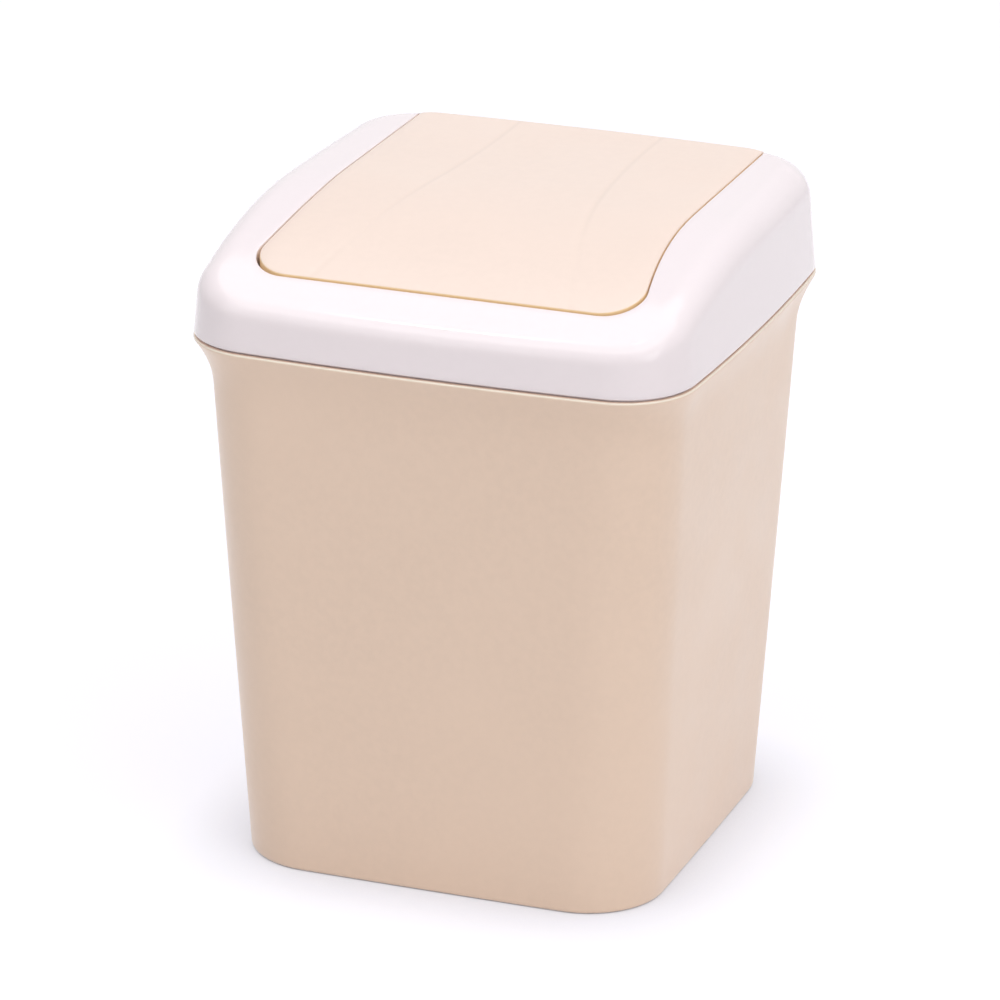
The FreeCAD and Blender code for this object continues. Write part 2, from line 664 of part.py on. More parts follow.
def make_swing_flap():
    """The flap: a curved panel with a turned-down lip, a tail, ribs, pivot lugs and stub pins."""
    outer = dome("flap_outside", FLAP_TOP, FLAP_ARC, "0")
    inner = dome("flap_inside", FLAP_TOP, FLAP_ARC, "flap_thick")
    outline = flap_prism("flap_prism", "0", "flap_corner", PAST_RIM)
    blank = boolean("Common", "flap_blank", outline, outer)
    eased = ease("flap_eased", blank, "flap_edge", (outer, outline, SEAM))

    hollow = flap_prism("hollow_prism", "0 - flap_lip", "flap_corner - flap_lip", PAST_RIM)
    hollow = boolean("Common", "hollow", hollow, inner)
    under_top = f"{FLAP_TOP} - flap_lip_depth"
    under = fall_block("panel_under", under_top, f"{FLAP_ARC} - flap_lip_depth", TAIL_INSIDE)
    tail_low = (f"0 - ({PAST_RIM})", TAIL_INSIDE, SKIRT_FOOT)
    tail_under = box("tail_under", tail_low, (PAST_RIM, PAST_RIM, TAIL))
    panel = cut_all("panel", eased, [hollow, under, tail_under])

    ribs = []
    for side, turn in (("left", -1), ("right", 1)):
        sketch = level_sketch(f"{side}_rib_outline", SEAM)
        rib_outline(sketch, turn)
        ribs.append(extrude(f"{side}_rib", sketch, f"{PAST_TOP} - ({SEAM})"))
    inside = f"{FLAP_SIDE} - flap_lip"
    low = (f"0 - ({inside})", "0 - rib_thick / 2", SEAM)
    ribs.append(box("cross_rib", low, (inside, "rib_thick / 2", PAST_TOP)))
    rib_under = fall_block("rib_under", f"{FLAP_TOP} - rib_depth", f"{FLAP_ARC} - rib_depth")
    ribs = boolean("Common", "rib_blank", fuse("rib_prisms", ribs), eased)
    ribs = boolean("Cut", "ribs", ribs, rib_under)

    lug_inside = f"{FLAP_SIDE} - lug_thick"
    lugs = tongues("lug_plates", "lug_radius", lug_inside, FLAP_SIDE)
    lugs = boolean("Common", "lugs", lugs, eased)
    pin_end = f"{OPENING_SIDE} + ear_thick - pin_recess"
    pins = []
    for side, start, end in both_sides(lug_inside, pin_end):
        pins.append(cross_pin(f"{side}_stub_pin", "pin_radius", start, end))
    return fuse("swing_flap", [panel, ribs, lugs, *pins])


def check(solids):
    """Stop if anything in the document failed or a piece is not one sound solid."""
    failed = [thing.Name for thing in doc.Objects if {"Invalid", "Error"} & set(thing.State)]
    if failed:
        raise RuntimeError(f"failed: {failed}")
    for solid in solids:
        shape = solid.Shape
        if shape.isNull() or not shape.isValid() or len(shape.Solids) != 1:
            raise RuntimeError(f"{solid.Label} is not one valid solid")


def main():
    fill_sheet()
    pieces = [make_tub(), make_cover_frame(), make_swing_flap()]
    doc.recompute()
    check(pieces)
    os.makedirs("parts", exist_ok=True)
    for piece in pieces:
        piece.Shape.exportStep(f"parts/{piece.Label}.step")


main()
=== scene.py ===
"""Desktop bin: a tapered tub, a lift-off cover and a swing flap, with moulded plastic finishes."""
import json
import math

import bmesh
import bpy
from bpy.props import FloatProperty, FloatVectorProperty, PointerProperty
from bpy.types import Operator, Panel, PropertyGroup
from mathutils import Matrix, Vector


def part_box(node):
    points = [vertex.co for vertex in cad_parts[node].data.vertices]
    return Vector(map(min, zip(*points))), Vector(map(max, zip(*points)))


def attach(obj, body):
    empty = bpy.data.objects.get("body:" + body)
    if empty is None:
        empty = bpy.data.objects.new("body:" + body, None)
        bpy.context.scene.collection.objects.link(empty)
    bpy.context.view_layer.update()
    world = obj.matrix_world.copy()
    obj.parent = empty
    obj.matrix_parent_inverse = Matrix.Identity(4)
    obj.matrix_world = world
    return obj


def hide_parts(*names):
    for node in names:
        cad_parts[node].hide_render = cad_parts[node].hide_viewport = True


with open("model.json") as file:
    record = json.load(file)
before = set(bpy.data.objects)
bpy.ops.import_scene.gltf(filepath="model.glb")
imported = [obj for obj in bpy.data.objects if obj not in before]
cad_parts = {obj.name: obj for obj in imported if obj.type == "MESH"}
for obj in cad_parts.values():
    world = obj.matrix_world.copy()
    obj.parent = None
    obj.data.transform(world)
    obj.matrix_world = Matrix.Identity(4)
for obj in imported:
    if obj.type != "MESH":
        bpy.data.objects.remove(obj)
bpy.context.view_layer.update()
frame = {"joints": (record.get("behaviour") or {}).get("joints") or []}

bl_info = {
    "name": "Desktop Bin",
    "version": (1, 0, 0),
    "blender": (4, 5, 0),
    "location": "3D View > Sidebar > Bin",
    "description": "Models the tub, the cover and the swing flap of a desktop bin",
    "category": "Object",
}

MM = 0.001
TUB_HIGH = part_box("tub")[1]
COVER_LOW, COVER_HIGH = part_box("cover_frame")
FLAP_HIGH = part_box("swing_flap")[1]
PIVOT = next(Vector(joint["pos_m"]) for joint in frame["joints"] if joint["name"] == "flap_swing")

# How finely the curved stretches are divided
SIDE_STEPS = 36
CORNER_STEPS = 14
SHOULDER_STEPS = 10
TOP_STEPS = 6
EDGE_STEPS = 3
ROUND_STEPS = 5
WALL_STEPS = 2
FLAP_ACROSS = 48
RING_STEPS = 32
HALVINGS = 50

# When points count as one, when edges count as sharp, and how far plates stand off a shared face
MERGE = 1e-7
SHARP = math.radians(34)
STAND_OFF = 0.05 * MM

# Share of a rib's depth that is sunk into the panel
RIB_ROOT = 0.25

# Noise in the plastics: scale per metre and detail, the range that is used, and the spread of the gloss
MOTTLE = (14.0, 3.0)
FLOW = (420.0, 4.0)
SHEEN = (60.0, 4.0)
GRAIN = (2200.0, 3.0)
NOISE_RANGE = (0.3, 0.7)
FLOW_RANGE = (0.35, 0.65)
FLOW_SHARE = 0.5
GLOSS_SPREAD = (-0.04, 0.05)
GRAIN_HEIGHT = 0.02 * MM

# The rim's painted highlight, standing in for light caught on its rounded edge: the tub's colour that
# it keeps, by red, green and blue, and the shares of the rounding over which it appears and goes
RIM_HIGHLIGHT_TINT = (0.4, 0.45, 0.6)
RIM_HIGHLIGHT_START = 0.5
RIM_HIGHLIGHT_END = 0.2

# The flap's painted shade on its edge faces in the gap, and its sink marks with a painted shade line
# along each long rib, whose widths are in thicknesses of a rib
EDGE = "painted_edge_shade"
EDGE_SHADE_TINT = (1.0, 0.86, 0.52)
SINK_WIDTH = 1.5
SINK_DEPTH = 0.1 * MM
SHADE_LINE_WIDTH = 0.9
SHADE_LINE_FACTOR = 0.95
SHADE_LINE_FADE = (-30 * MM, 5 * MM)

# The floor: its size and finish, the reach and fall of the shadow, and the glow that shows white
FLOOR_HALF = 12.0
FLOOR_ROUGHNESS = 0.9
FLOOR_SHINE = 0.1
LIT_GREY = (0.8, 0.8, 0.8, 1.0)
SEEN_GREY = (0.4, 0.4, 0.4, 1.0)
SHADOW_REACH = 26 * MM
SHADOW_FALL = 0.5
SHADOW_SAMPLES = 6
SEEN_GLOW = 0.67
MIRRORED_GLOW = 0.48
GLOW_TINT = (1.0, 0.985, 1.08, 1.0)

# The light: the world's strength, the point that the lamps face, and each lamp's name, place, width in
# metres and power in watts
WORLD_LIGHT = 0.23
LAMP_AIM = Vector((0.0, 0.0, 0.1))
LAMPS = (
    ("overhead_softbox", (0.2, 0.0, 3.4), 4.5, 84.0),
    ("left_panel", (-1.2, -2.08, 2.5), 3.0, 20.0),
    ("right_panel", (2.08, -1.2, 2.5), 3.0, 23.0),
    ("low_panel", (2.84, -1.64, 0.98), 1.5, 12.0),
    ("front_glint", (-0.71, 0.44, 2.14), 0.12, 0.8),
    ("corner_glint", (0.02, 0.0, 2.3), 0.2, 1.0),
)

# The camera: its sensor's width in millimetres, and how far it sees in metres
SENSOR = 36.0
FAR = 100.0


# Sizes and colours that a user would change


def length(label, default, about):
    """A length in metres."""
    return FloatProperty(
        name=label, description=about, default=default, min=0.0, unit="LENGTH", precision=5
    )


def colour(label, default, about):
    """A colour, in linear light."""
    return FloatVectorProperty(
        name=label, description=about, default=default, size=3, subtype="COLOR", min=0.0, max=1.0
    )


def number(label, default, about):
    """A plain number."""
    return FloatProperty(name=label, description=about, default=default)


def angle(label, degrees, about):
    """An angle, given in degrees."""
    return FloatProperty(name=label, description=about, default=math.radians(degrees), subtype="ANGLE")


class BIN_PG_tub(PropertyGroup):
    """Sizes of the tub."""
    height: length("Height", TUB_HIGH.z, "Floor to the top of the rim")
    rim_half: length("Rim half width", 70.7 * MM, "Middle of the bin to the middle of a side of the rim")
    rim_corner: length("Rim corner", 20.7 * MM, "Corner radius of the rim")
    rim_bow: length("Rim bow", 900.7 * MM, "Radius of the rim's gently bowed sides")
    base_half: length("Base half width", 58.4 * MM, "Middle of the bin to the middle of a side of the base")
    base_corner: length("Base corner", 21.5 * MM, "Corner radius of the base")
    base_bow: length("Base bow", 4000 * MM, "Radius of the base's nearly straight sides")
    flare_out: length("Flare", 3.8 * MM, "How far the rim flares out from the taper")
    flare_height: length("Flare height", 14 * MM, "Height of the flare")
    wall: length("Wall", 1.8 * MM, "Thickness of the wall")
    floor: length("Floor", 2 * MM, "Thickness of the floor")
    foot_height: length("Foot height", 1.2 * MM, "Foot ring below the floor")
    foot_width: length("Foot width", 3 * MM, "Width of the foot ring")
    floor_round: length("Floor rounding", 3 * MM, "Rounding between the floor and the wall, inside")
    foot_round: length("Foot rounding", 1.2 * MM, "Rounding of the bottom edge")
    rim_round: length("Rim rounding", 0.6 * MM, "Rounding of the rim's outer edge")


class BIN_PG_cover(PropertyGroup):
    """Sizes of the cover."""
    half: length("Half width", 70 * MM, "Middle of the bin to the middle of a side of the cover")
    corner: length("Corner", 20 * MM, "Corner radius of the cover")
    bow: length("Bow", 900 * MM, "Radius of the cover's gently bowed sides")
    top: length("Top", COVER_HIGH.z + 0.35 * MM, "Floor to the cover's level shoulder")
    fall: length("Fall", 17.13 * MM, "Fall of the top from its level part to the front")
    crest: length("Crest", 5 * MM, "Where the level top starts to fall, behind the middle")
    draft: angle("Draft", 5.092, "Lean of the wall")
    wall: length("Wall", 1.8 * MM, "Thickness of the wall")
    seam_gap: length("Seam gap", 0.7 * MM, "Shadow gap between the rim and the wall")
    seam_depth: length("Seam depth", 1.3 * MM, "Depth of the shadow gap")
    seam_round: length("Seam rounding", 0.25 * MM, "Rounding of the wall's lower edge")
    front_round: length("Front rounding", 6.3 * MM, "Shoulder rounding at the front")
    near_round: length("Near rounding", 8.0 * MM, "Shoulder rounding at the front end of the sides")
    far_round: length("Far rounding", 9.4 * MM, "Shoulder rounding at the back end of the sides")
    back_round: length("Back rounding", 5.4 * MM, "Shoulder rounding at the back")
    edge: length("Opening edge", 0.4 * MM, "Rounding of the opening's upper edge")
    lip: length("Lip", 1.5 * MM, "Thickness of the opening's turned-down lip")
    lip_depth: length("Lip depth", 5 * MM, "Depth of the opening's turned-down lip")
    web: length("Web", 2 * MM, "Thickness of the web that sits on the rim")
    skirt_foot: length("Skirt foot", COVER_LOW.z, "Floor to the plug skirt's lower edge")
    skirt_gap: length("Skirt gap", 0.6 * MM, "Clearance between the plug skirt's foot and the tub")
    skirt: length("Skirt", 1.5 * MM, "Thickness of the plug skirt")
    ear: length("Ear", 2.6 * MM, "Thickness of a bearing ear")
    ear_radius: length("Ear radius", 5.5 * MM, "Radius of a bearing ear's rounded end")
    bore: length("Bore", 2.05 * MM, "Radius of a bearing ear's hole")


class BIN_PG_flap(PropertyGroup):
    """Sizes of the swing flap."""
    top: length("Top", FLAP_HIGH.z, "Floor to the flap's level top")
    fall: length("Fall", 17.5 * MM, "Fall of the top from its level part to the front")
    side_land: length("Side land", 20.4 * MM, "Straight sides, in from the cover's sides")
    front_land: length("Front land", 15.9 * MM, "Front edge, in from the cover's front")
    flare: length("Flare", 245 * MM, "Radius of the sides where they widen")
    flare_start: length("Flare start", 3 * MM, "Where the sides start to widen, ahead of the middle")
    corner: length("Corner", 10.5 * MM, "Radius of the front corners")
    thick: length("Panel", 2 * MM, "Thickness of the panel")
    lip: length("Lip", 1.3 * MM, "Thickness of the turned-down lip")
    lip_depth: length("Lip depth", 4 * MM, "Depth of the edge")
    edge: length("Edge rounding", 0.5 * MM, "Rounding of the upper edge")
    roll: length("Side roll", 0.5 * MM, "How much lower the top is at its side edges")
    roll_width: length("Roll width", 5 * MM, "How far in from the side edges the top starts to roll off")
    gap: length("Gap", 0.42 * MM, "Gap to the cover's opening")
    corner_ease: length("Corner ease", 0.9 * MM, "How much tighter the opening's corners are")
    back_round: length("Back rounding", 4.4 * MM, "Rounding of the back shoulder")
    tail_drop: length("Tail drop", 9.5 * MM, "Lower edge of the tail, below the level top")
    tail_inset: length("Tail inset", 4 * MM, "Inner face of the tail, in from the cover's back")
    pin: length("Pin", 2 * MM, "Radius of a stub pin")
    pin_reach: length("Pin reach", FLAP_HIGH.x, "Middle of the flap to the end of a stub pin")
    lug: length("Lug", 2.2 * MM, "Thickness of a pivot lug")
    lug_radius: length("Lug radius", 4.5 * MM, "Radius of a pivot lug's rounded end")
    rib: length("Rib", 1.2 * MM, "Thickness of a rib")
    rib_depth: length("Rib depth", 4 * MM, "Reach of a rib below the panel")
    rib_half: length("Rib spacing", 20.5 * MM, "Middle of the flap to a long rib's back end")
    rib_curve: length("Rib curve", 380 * MM, "Radius of the long ribs in plan")
    rib_back: length("Rib back", 52 * MM, "Back end of the long ribs, behind the middle")
    rib_front: length("Rib front", 46 * MM, "Front end of the long ribs, ahead of the middle")


class BIN_PG_finish(PropertyGroup):
    """Colours of the three plastics."""
    tub: colour("Tub", (0.888, 0.68, 0.543), "Beige plastic of the tub")
    cover: colour("Cover", (0.94, 0.85, 0.88), "White plastic of the cover")
    flap: colour("Flap", (0.92, 0.755, 0.67), "Cream plastic of the flap")


class BIN_PG_stage(PropertyGroup):
    """Camera and light."""
    azimuth: angle("Camera azimuth", 20.209, "Turn of the camera from the front towards the right")
    elevation: angle("Camera elevation", 20.4395, "Height of the camera above the horizon")
    roll: angle("Camera roll", 0.4461, "Tilt of the camera about its own line of sight")
    distance: length("Camera distance", 1610.8 * MM, "Camera to the point that it looks at")
    aim_height: length("Aim height", 82.44 * MM, "Floor to the point that the camera looks at")
    aim_across: number("Aim across", -2.15 * MM, "Shift of that point across the picture, in metres")
    aim_up: number("Aim up", 7.93 * MM, "Shift of that point up the picture, in metres")
    lens: number("Focal length", 215.16, "Focal length of the camera in millimetres, on a 36 mm sensor")


# Outlines in plan


def spread(start, end, steps):
    """Even values from start to end."""
    return [start + (end - start) * step / steps for step in range(steps + 1)]


def narrow(low, high, holds):
    """Where a test starts to hold, between a value where it fails and one where it holds."""
    for _ in range(HALVINGS):
        middle = (low + high) / 2
        if holds(middle):
            high = middle
        else:
            low = middle
    return low


def quarter_round(radius, steps):
    """The (inset, rise) points of a rounding, from its level end to its upright end."""
    headings = spread(0.0, math.pi / 2, steps)
    return [(radius * (1 - math.sin(way)), radius * (1 - math.cos(way))) for way in headings]


def square_point(half, corner, bow, quarter, on_corner, share):
    """A point of a square outline with bowed sides and round corners, and the way in from there.

    Each quarter turn has a side, then the corner after it, and the share runs along either.
    """
    behind = bow - half
    middle = (math.sqrt(2 * (bow - corner) ** 2 - behind ** 2) - behind) / 2
    swing = math.atan2(middle, middle + behind)
    if on_corner:
        heading = swing + share * (math.pi / 2 - 2 * swing)
        centre, radius = Vector((middle, middle)), corner
    else:
        heading = swing * (2 * share - 1)
        centre, radius = Vector((-behind, 0)), bow
    way = Vector((math.cos(heading), math.sin(heading)))
    turn = Matrix.Rotation(quarter * math.pi / 2, 2)
    return turn @ (centre + radius * way), turn @ -way


class FlapOutline:
    """The flap's outline in plan, on the right, grown all round: straight side, flare and corner."""

    def __init__(self, cover, flap, grow, corner):
        self.half = cover.half - flap.side_land + grow
        self.front = cover.half - flap.front_land + grow
        self.start = flap.flare_start
        self.flare = flap.flare - grow
        self.corner = corner
        rise = self.front - self.start - corner
        self.flare_x = self.half + self.flare
        self.corner_x = self.flare_x - math.sqrt((self.flare + corner) ** 2 - rise ** 2)
        self.bend = math.atan2(rise, self.flare_x - self.corner_x)
        self.corner_y = corner - self.front

    def on_flare(self, share):
        """A point from the straight side to the corner."""
        heading = self.bend * share
        return Vector((
            self.flare_x - self.flare * math.cos(heading),
            -self.start - self.flare * math.sin(heading),
        ))

    def on_corner(self, share):
        """A point from the flare to the front edge."""
        heading = self.bend - (self.bend + math.pi / 2) * share
        return Vector((
            self.corner_x + self.corner * math.cos(heading),
            self.corner_y + self.corner * math.sin(heading),
        ))

    def on_side(self, y):
        """The point of the flare or the straight side at a place along the bin."""
        if y > -self.start:
            return Vector((self.half, y))
        return Vector((self.flare_x - math.sqrt(self.flare ** 2 - (y + self.start) ** 2), y))


# The lid's form


class LidForm:
    """The lid's form: leaning walls, a top that falls to the front and round shoulders between them."""

    def __init__(self, tub, cover, top, fall):
        reach = cover.half + cover.crest
        self.radius = (reach ** 2 + fall ** 2) / (2 * fall)
        self.centre_z = top - self.radius
        self.crest = cover.crest
        self.seam = tub.height + cover.seam_gap
        self.lean = math.tan(cover.draft)
        self.reach = cover.half / 2

    def height(self, y, depth=0.0):
        """Height of the top at a place along the bin, or of the surface at a depth below it."""
        run = max(self.crest - y, 0.0)
        return self.centre_z + math.sqrt((self.radius - depth) ** 2 - run ** 2)

    def slope(self, y, depth=0.0):
        """Slope of the same surface towards the back."""
        run = max(self.crest - y, 0.0)
        return run / math.sqrt((self.radius - depth) ** 2 - run ** 2)

    def on_top(self, place, depth=0.0):
        """The point of the top over a place in plan."""
        return Vector((place.x, place.y, self.height(place.y, depth)))

    def wall_run(self, z, depth=0.0):
        """How far in the wall is at a height."""
        return depth + self.lean * (z - self.seam)

    def on_wall(self, place, inward, heights, depth=0.0):
        """Points of the wall in an upright column, at some heights.

        The column starts at a place on the cover's outline and runs inwards.
        """
        return [stand(place, inward, self.wall_run(z, depth), z) for z in heights]

    def shoulder(self, place, inward, depth, rounding):
        """The rounding in such a column, as points from the wall to the top."""
        def ball(run):
            y = place.y + inward.y * run
            slope = self.slope(y, depth) * inward.y
            way = Vector((-slope, 1.0)).normalized()
            return Vector((run, self.height(y, depth))) - rounding * way, way

        def clear(run):
            centre = ball(run)[0]
            return centre.x > self.wall_run(centre.y, depth) + rounding * math.hypot(1.0, self.lean)

        centre, way = ball(narrow(depth, depth + self.reach, clear))
        start = math.atan2(self.lean, -1.0)
        end = math.atan2(way.y, way.x)
        points = []
        for heading in spread(start, end, SHOULDER_STEPS):
            run = centre.x + rounding * math.cos(heading)
            points.append(stand(place, inward, run, centre.y + rounding * math.sin(heading)))
        return points


def stand(place, inward, run, z):
    """The point of a column at a run inwards and a height."""
    return Vector((place.x + inward.x * run, place.y + inward.y * run, z))


def bend(start, corner, end):
    """Points between the ends of a small rounding in a sharp corner."""
    points = []
    for step in range(1, EDGE_STEPS):
        share = step / EDGE_STEPS
        points.append(start.lerp(corner, share).lerp(corner.lerp(end, share), share))
    return points


# Mesh tools


def skin(mesh, rows, closed=False):
    """Faces between each row of vertices and the next, with the rows open or closed to rings."""
    for first, second in zip(rows, rows[1:]):
        last = len(first) if closed else len(first) - 1
        for index in range(last):
            after = (index + 1) % len(first)
            mesh.faces.new((first[index], first[after], second[after], second[index]))


def add_row(mesh, points):
    """Vertices at a row of points."""
    return [mesh.verts.new(point) for point in points]


def add_plate(mesh, outer, hole, low, high):
    """A flat plate across the bin, between two outlines of (y, z) points and two places along x."""
    rows = []
    for x, outline in ((low, hole), (low, outer), (high, outer), (high, hole)):
        rows.append(add_row(mesh, [Vector((x, y, z)) for y, z in outline]))
    skin(mesh, [*rows, rows[0]], closed=True)


def ring_headings():
    """The headings of a ring's points."""
    return [2 * math.pi * step / RING_STEPS for step in range(RING_STEPS)]


def tongue(radius, top):
    """Outline of a hanging plate round the pivot, as (y, z) points: a half round below, square above."""
    rise = top - PIVOT.z
    points = []
    for heading in ring_headings():
        across, up = math.cos(heading), math.sin(heading)
        stretch = min(radius / abs(across), rise / up) if up > 0 else radius
        points.append((PIVOT.y + stretch * across, PIVOT.z + stretch * up))
    return points


def ring(radius):
    """A circle round the pivot, as (y, z) points."""
    return [(PIVOT.y + radius * math.cos(way), PIVOT.z + radius * math.sin(way)) for way in ring_headings()]


def close_mesh(mesh, name):
    """Merge what coincides, turn the faces outwards and give a mesh with sharp edges marked."""
    bmesh.ops.remove_doubles(mesh, verts=mesh.verts, dist=MERGE)
    bmesh.ops.recalc_face_normals(mesh, faces=mesh.faces)
    data = bpy.data.meshes.new(name)
    mesh.to_mesh(data)
    mesh.free()
    data.shade_smooth()
    data.set_sharp_from_angle(angle=SHARP)
    return data


def add_object(data):
    """Put a mesh in the scene."""
    item = bpy.data.objects.new(data.name, data)
    bpy.context.scene.collection.objects.link(item)
    return item


def finish_piece(item, node, body, material):
    """Give a piece its material and let it stand for its node."""
    item.data.materials.clear()
    item.data.materials.append(material)
    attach(item, body)
    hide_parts(node)


# Geometry Nodes


class Field:
    """A number in a node tree, with plain arithmetic."""

    def __init__(self, tree, socket):
        self.tree = tree
        self.socket = socket

    def apply(self, operation, *values):
        """A Math node with this number as its first value."""
        node = self.tree.nodes.new("ShaderNodeMath")
        node.operation = operation
        for socket, value in zip(node.inputs, (self, *values)):
            feed(self.tree, socket, value)
        return Field(self.tree, node.outputs[0])

    def __add__(self, other):
        return self.apply("ADD", other)

    def __sub__(self, other):
        return self.apply("SUBTRACT", other)

    def __mul__(self, other):
        return self.apply("MULTIPLY", other)

    def __truediv__(self, other):
        return self.apply("DIVIDE", other)

    def root(self):
        return self.apply("SQRT")

    def cos(self):
        return self.apply("COSINE")

    def sin(self):
        return self.apply("SINE")

    def over(self, other):
        """1 where this is above the other, else 0."""
        return self.apply("GREATER_THAN", other)

    def mix(self, other, share):
        """This where the share is 0, the other where it is 1."""
        return self + (other - self) * share


def feed(tree, socket, value):
    """Link or set an input of a node."""
    if isinstance(value, Field):
        tree.links.new(value.socket, socket)
    elif isinstance(value, bpy.types.NodeSocket):
        tree.links.new(value, socket)
    else:
        socket.default_value = value


def new_tree(name, inputs):
    """A Geometry Nodes tree with named inputs, and its input fields by name."""
    tree = bpy.data.node_groups.new(name, "GeometryNodeTree")
    tree.interface.new_socket("Geometry", in_out="INPUT", socket_type="NodeSocketGeometry")
    tree.interface.new_socket("Geometry", in_out="OUTPUT", socket_type="NodeSocketGeometry")
    for label in inputs:
        tree.interface.new_socket(label, in_out="INPUT", socket_type="NodeSocketFloat")
    tree.interface.new_socket("Material", in_out="INPUT", socket_type="NodeSocketMaterial")
    start = tree.nodes.new("NodeGroupInput")
    return tree, start, {label: Field(tree, start.outputs[label]) for label in inputs}


def add_node(tree, kind, values=(), **settings):
    """A node with its settings and some inputs, given by name or number."""
    node = tree.nodes.new(kind)
    for setting, value in settings.items():
        setattr(node, setting, value)
    for key, value in dict(values).items():
        feed(tree, node.inputs[key], value)
    return node


def capture(tree, geometry, kind, value):
    """Keep a field of a curve's points for the mesh that is made from it."""
    node = tree.nodes.new("GeometryNodeCaptureAttribute")
    node.domain = "POINT"
    node.capture_items.new(kind, "Kept")
    tree.links.new(geometry, node.inputs[0])
    tree.links.new(value, node.inputs[1])
    return node.outputs[0], node.outputs[1]


def put(tree, geometry, x, y, z):
    """Move each point of a geometry to a place that fields give."""
    spot = add_node(tree, "ShaderNodeCombineXYZ", {"X": x, "Y": y, "Z": z})
    moved = add_node(tree, "GeometryNodeSetPosition", {0: geometry, "Position": spot.outputs[0]})
    return moved.outputs[0]


def end_tree(tree, start, geometry):
    """Realize the instances, set the material and give the result out."""
    real = add_node(tree, "GeometryNodeRealizeInstances", {0: geometry})
    finish = add_node(tree, "GeometryNodeSetMaterial", {
        0: real.outputs[0], "Material": start.outputs["Material"],
    })
    out = tree.nodes.new("NodeGroupOutput")
    tree.links.new(finish.outputs[0], out.inputs[0])


def run_tree(item, tree, values):
    """Run a tree on an object and keep the result as its plain mesh."""
    modifier = item.modifiers.new(tree.name, "NODES")
    modifier.node_group = tree
    for socket in tree.interface.items_tree:
        if socket.in_out == "INPUT" and socket.name in values:
            modifier[socket.identifier] = values[socket.name]
    graph = bpy.context.evaluated_depsgraph_get()
    data = bpy.data.meshes.new_from_object(item.evaluated_get(graph))
    data.name = item.data.name
    item.modifiers.remove(modifier)
    item.data = data
    if not data.polygons:
        raise RuntimeError(f"{tree.name} made no faces")


def square_lathe_tree():
    """Sweep a wall's section round a square outline whose width and corners change with its height.

    A vertex of the section holds the inset from the outline in x, and the height in z.
    """
    tree, start, size = new_tree("Square lathe", (
        "Height", "Rim Half", "Rim Corner", "Rim Bow", "Base Half", "Base Corner", "Base Bow",
        "Flare Out", "Flare Height", "Side Points", "Corner Points",
    ))
    section = add_node(tree, "GeometryNodeMeshToCurve", {0: start.outputs["Geometry"]})
    place = tree.nodes.new("GeometryNodeInputPosition")
    section, place = capture(tree, section.outputs[0], "VECTOR", place.outputs[0])
    quarter_points = size["Side Points"] + size["Corner Points"]
    rail = add_node(tree, "GeometryNodeCurvePrimitiveCircle", {"Resolution": quarter_points * 4})
    index = tree.nodes.new("GeometryNodeInputIndex")
    rail, step = capture(tree, rail.outputs[0], "FLOAT", index.outputs[0])
    sweep = add_node(tree, "GeometryNodeCurveToMesh", {"Curve": rail, "Profile Curve": section})

    parts = add_node(tree, "ShaderNodeSeparateXYZ", {0: place})
    inset = Field(tree, parts.outputs["X"])
    height = Field(tree, parts.outputs["Z"])
    share = height / size["Height"]
    flare = (height - size["Height"]) / size["Flare Height"] + 1.0
    flare = flare.apply("MAXIMUM", 0.0)
    straight = size["Rim Half"] - size["Flare Out"]
    half = size["Base Half"].mix(straight, share) + size["Flare Out"] * flare * flare - inset
    corner = size["Base Corner"].mix(size["Rim Corner"], share) - inset
    curve = share / size["Rim Bow"] - share / size["Base Bow"]
    bow = (curve + size["Base Bow"].apply("POWER", -1.0)).apply("POWER", -1.0) - inset

    behind = bow - half
    reach = bow - corner
    middle = ((reach * reach * 2.0 - behind * behind).root() - behind) / 2.0
    swing = middle.apply("ARCTAN2", middle + behind)
    step = Field(tree, step)
    # An eighth of a step, so that rounding drops no point into the quarter before its own
    nudge = 0.125 / (SIDE_STEPS + CORNER_STEPS)
    quarter = (step / quarter_points + nudge).apply("FLOOR")
    along = step - quarter * quarter_points
    on_corner = along.over(size["Side Points"] - 0.5)
    side_way = swing * (along * 2.0 / size["Side Points"] - 1.0)
    turn = (swing * -2.0 + math.pi / 2) / size["Corner Points"]
    corner_way = swing + turn * (along - size["Side Points"])
    way = side_way.mix(corner_way, on_corner)
    radius = bow.mix(corner, on_corner)
    across = (behind * -1.0).mix(middle, on_corner) + radius * way.cos()
    aside = middle * on_corner + radius * way.sin()
    facing = quarter * (math.pi / 2)
    x = across * facing.cos() - aside * facing.sin()
    y = across * facing.sin() + aside * facing.cos()
    end_tree(tree, start, put(tree, sweep.outputs[0], x, y, height))
    return tree


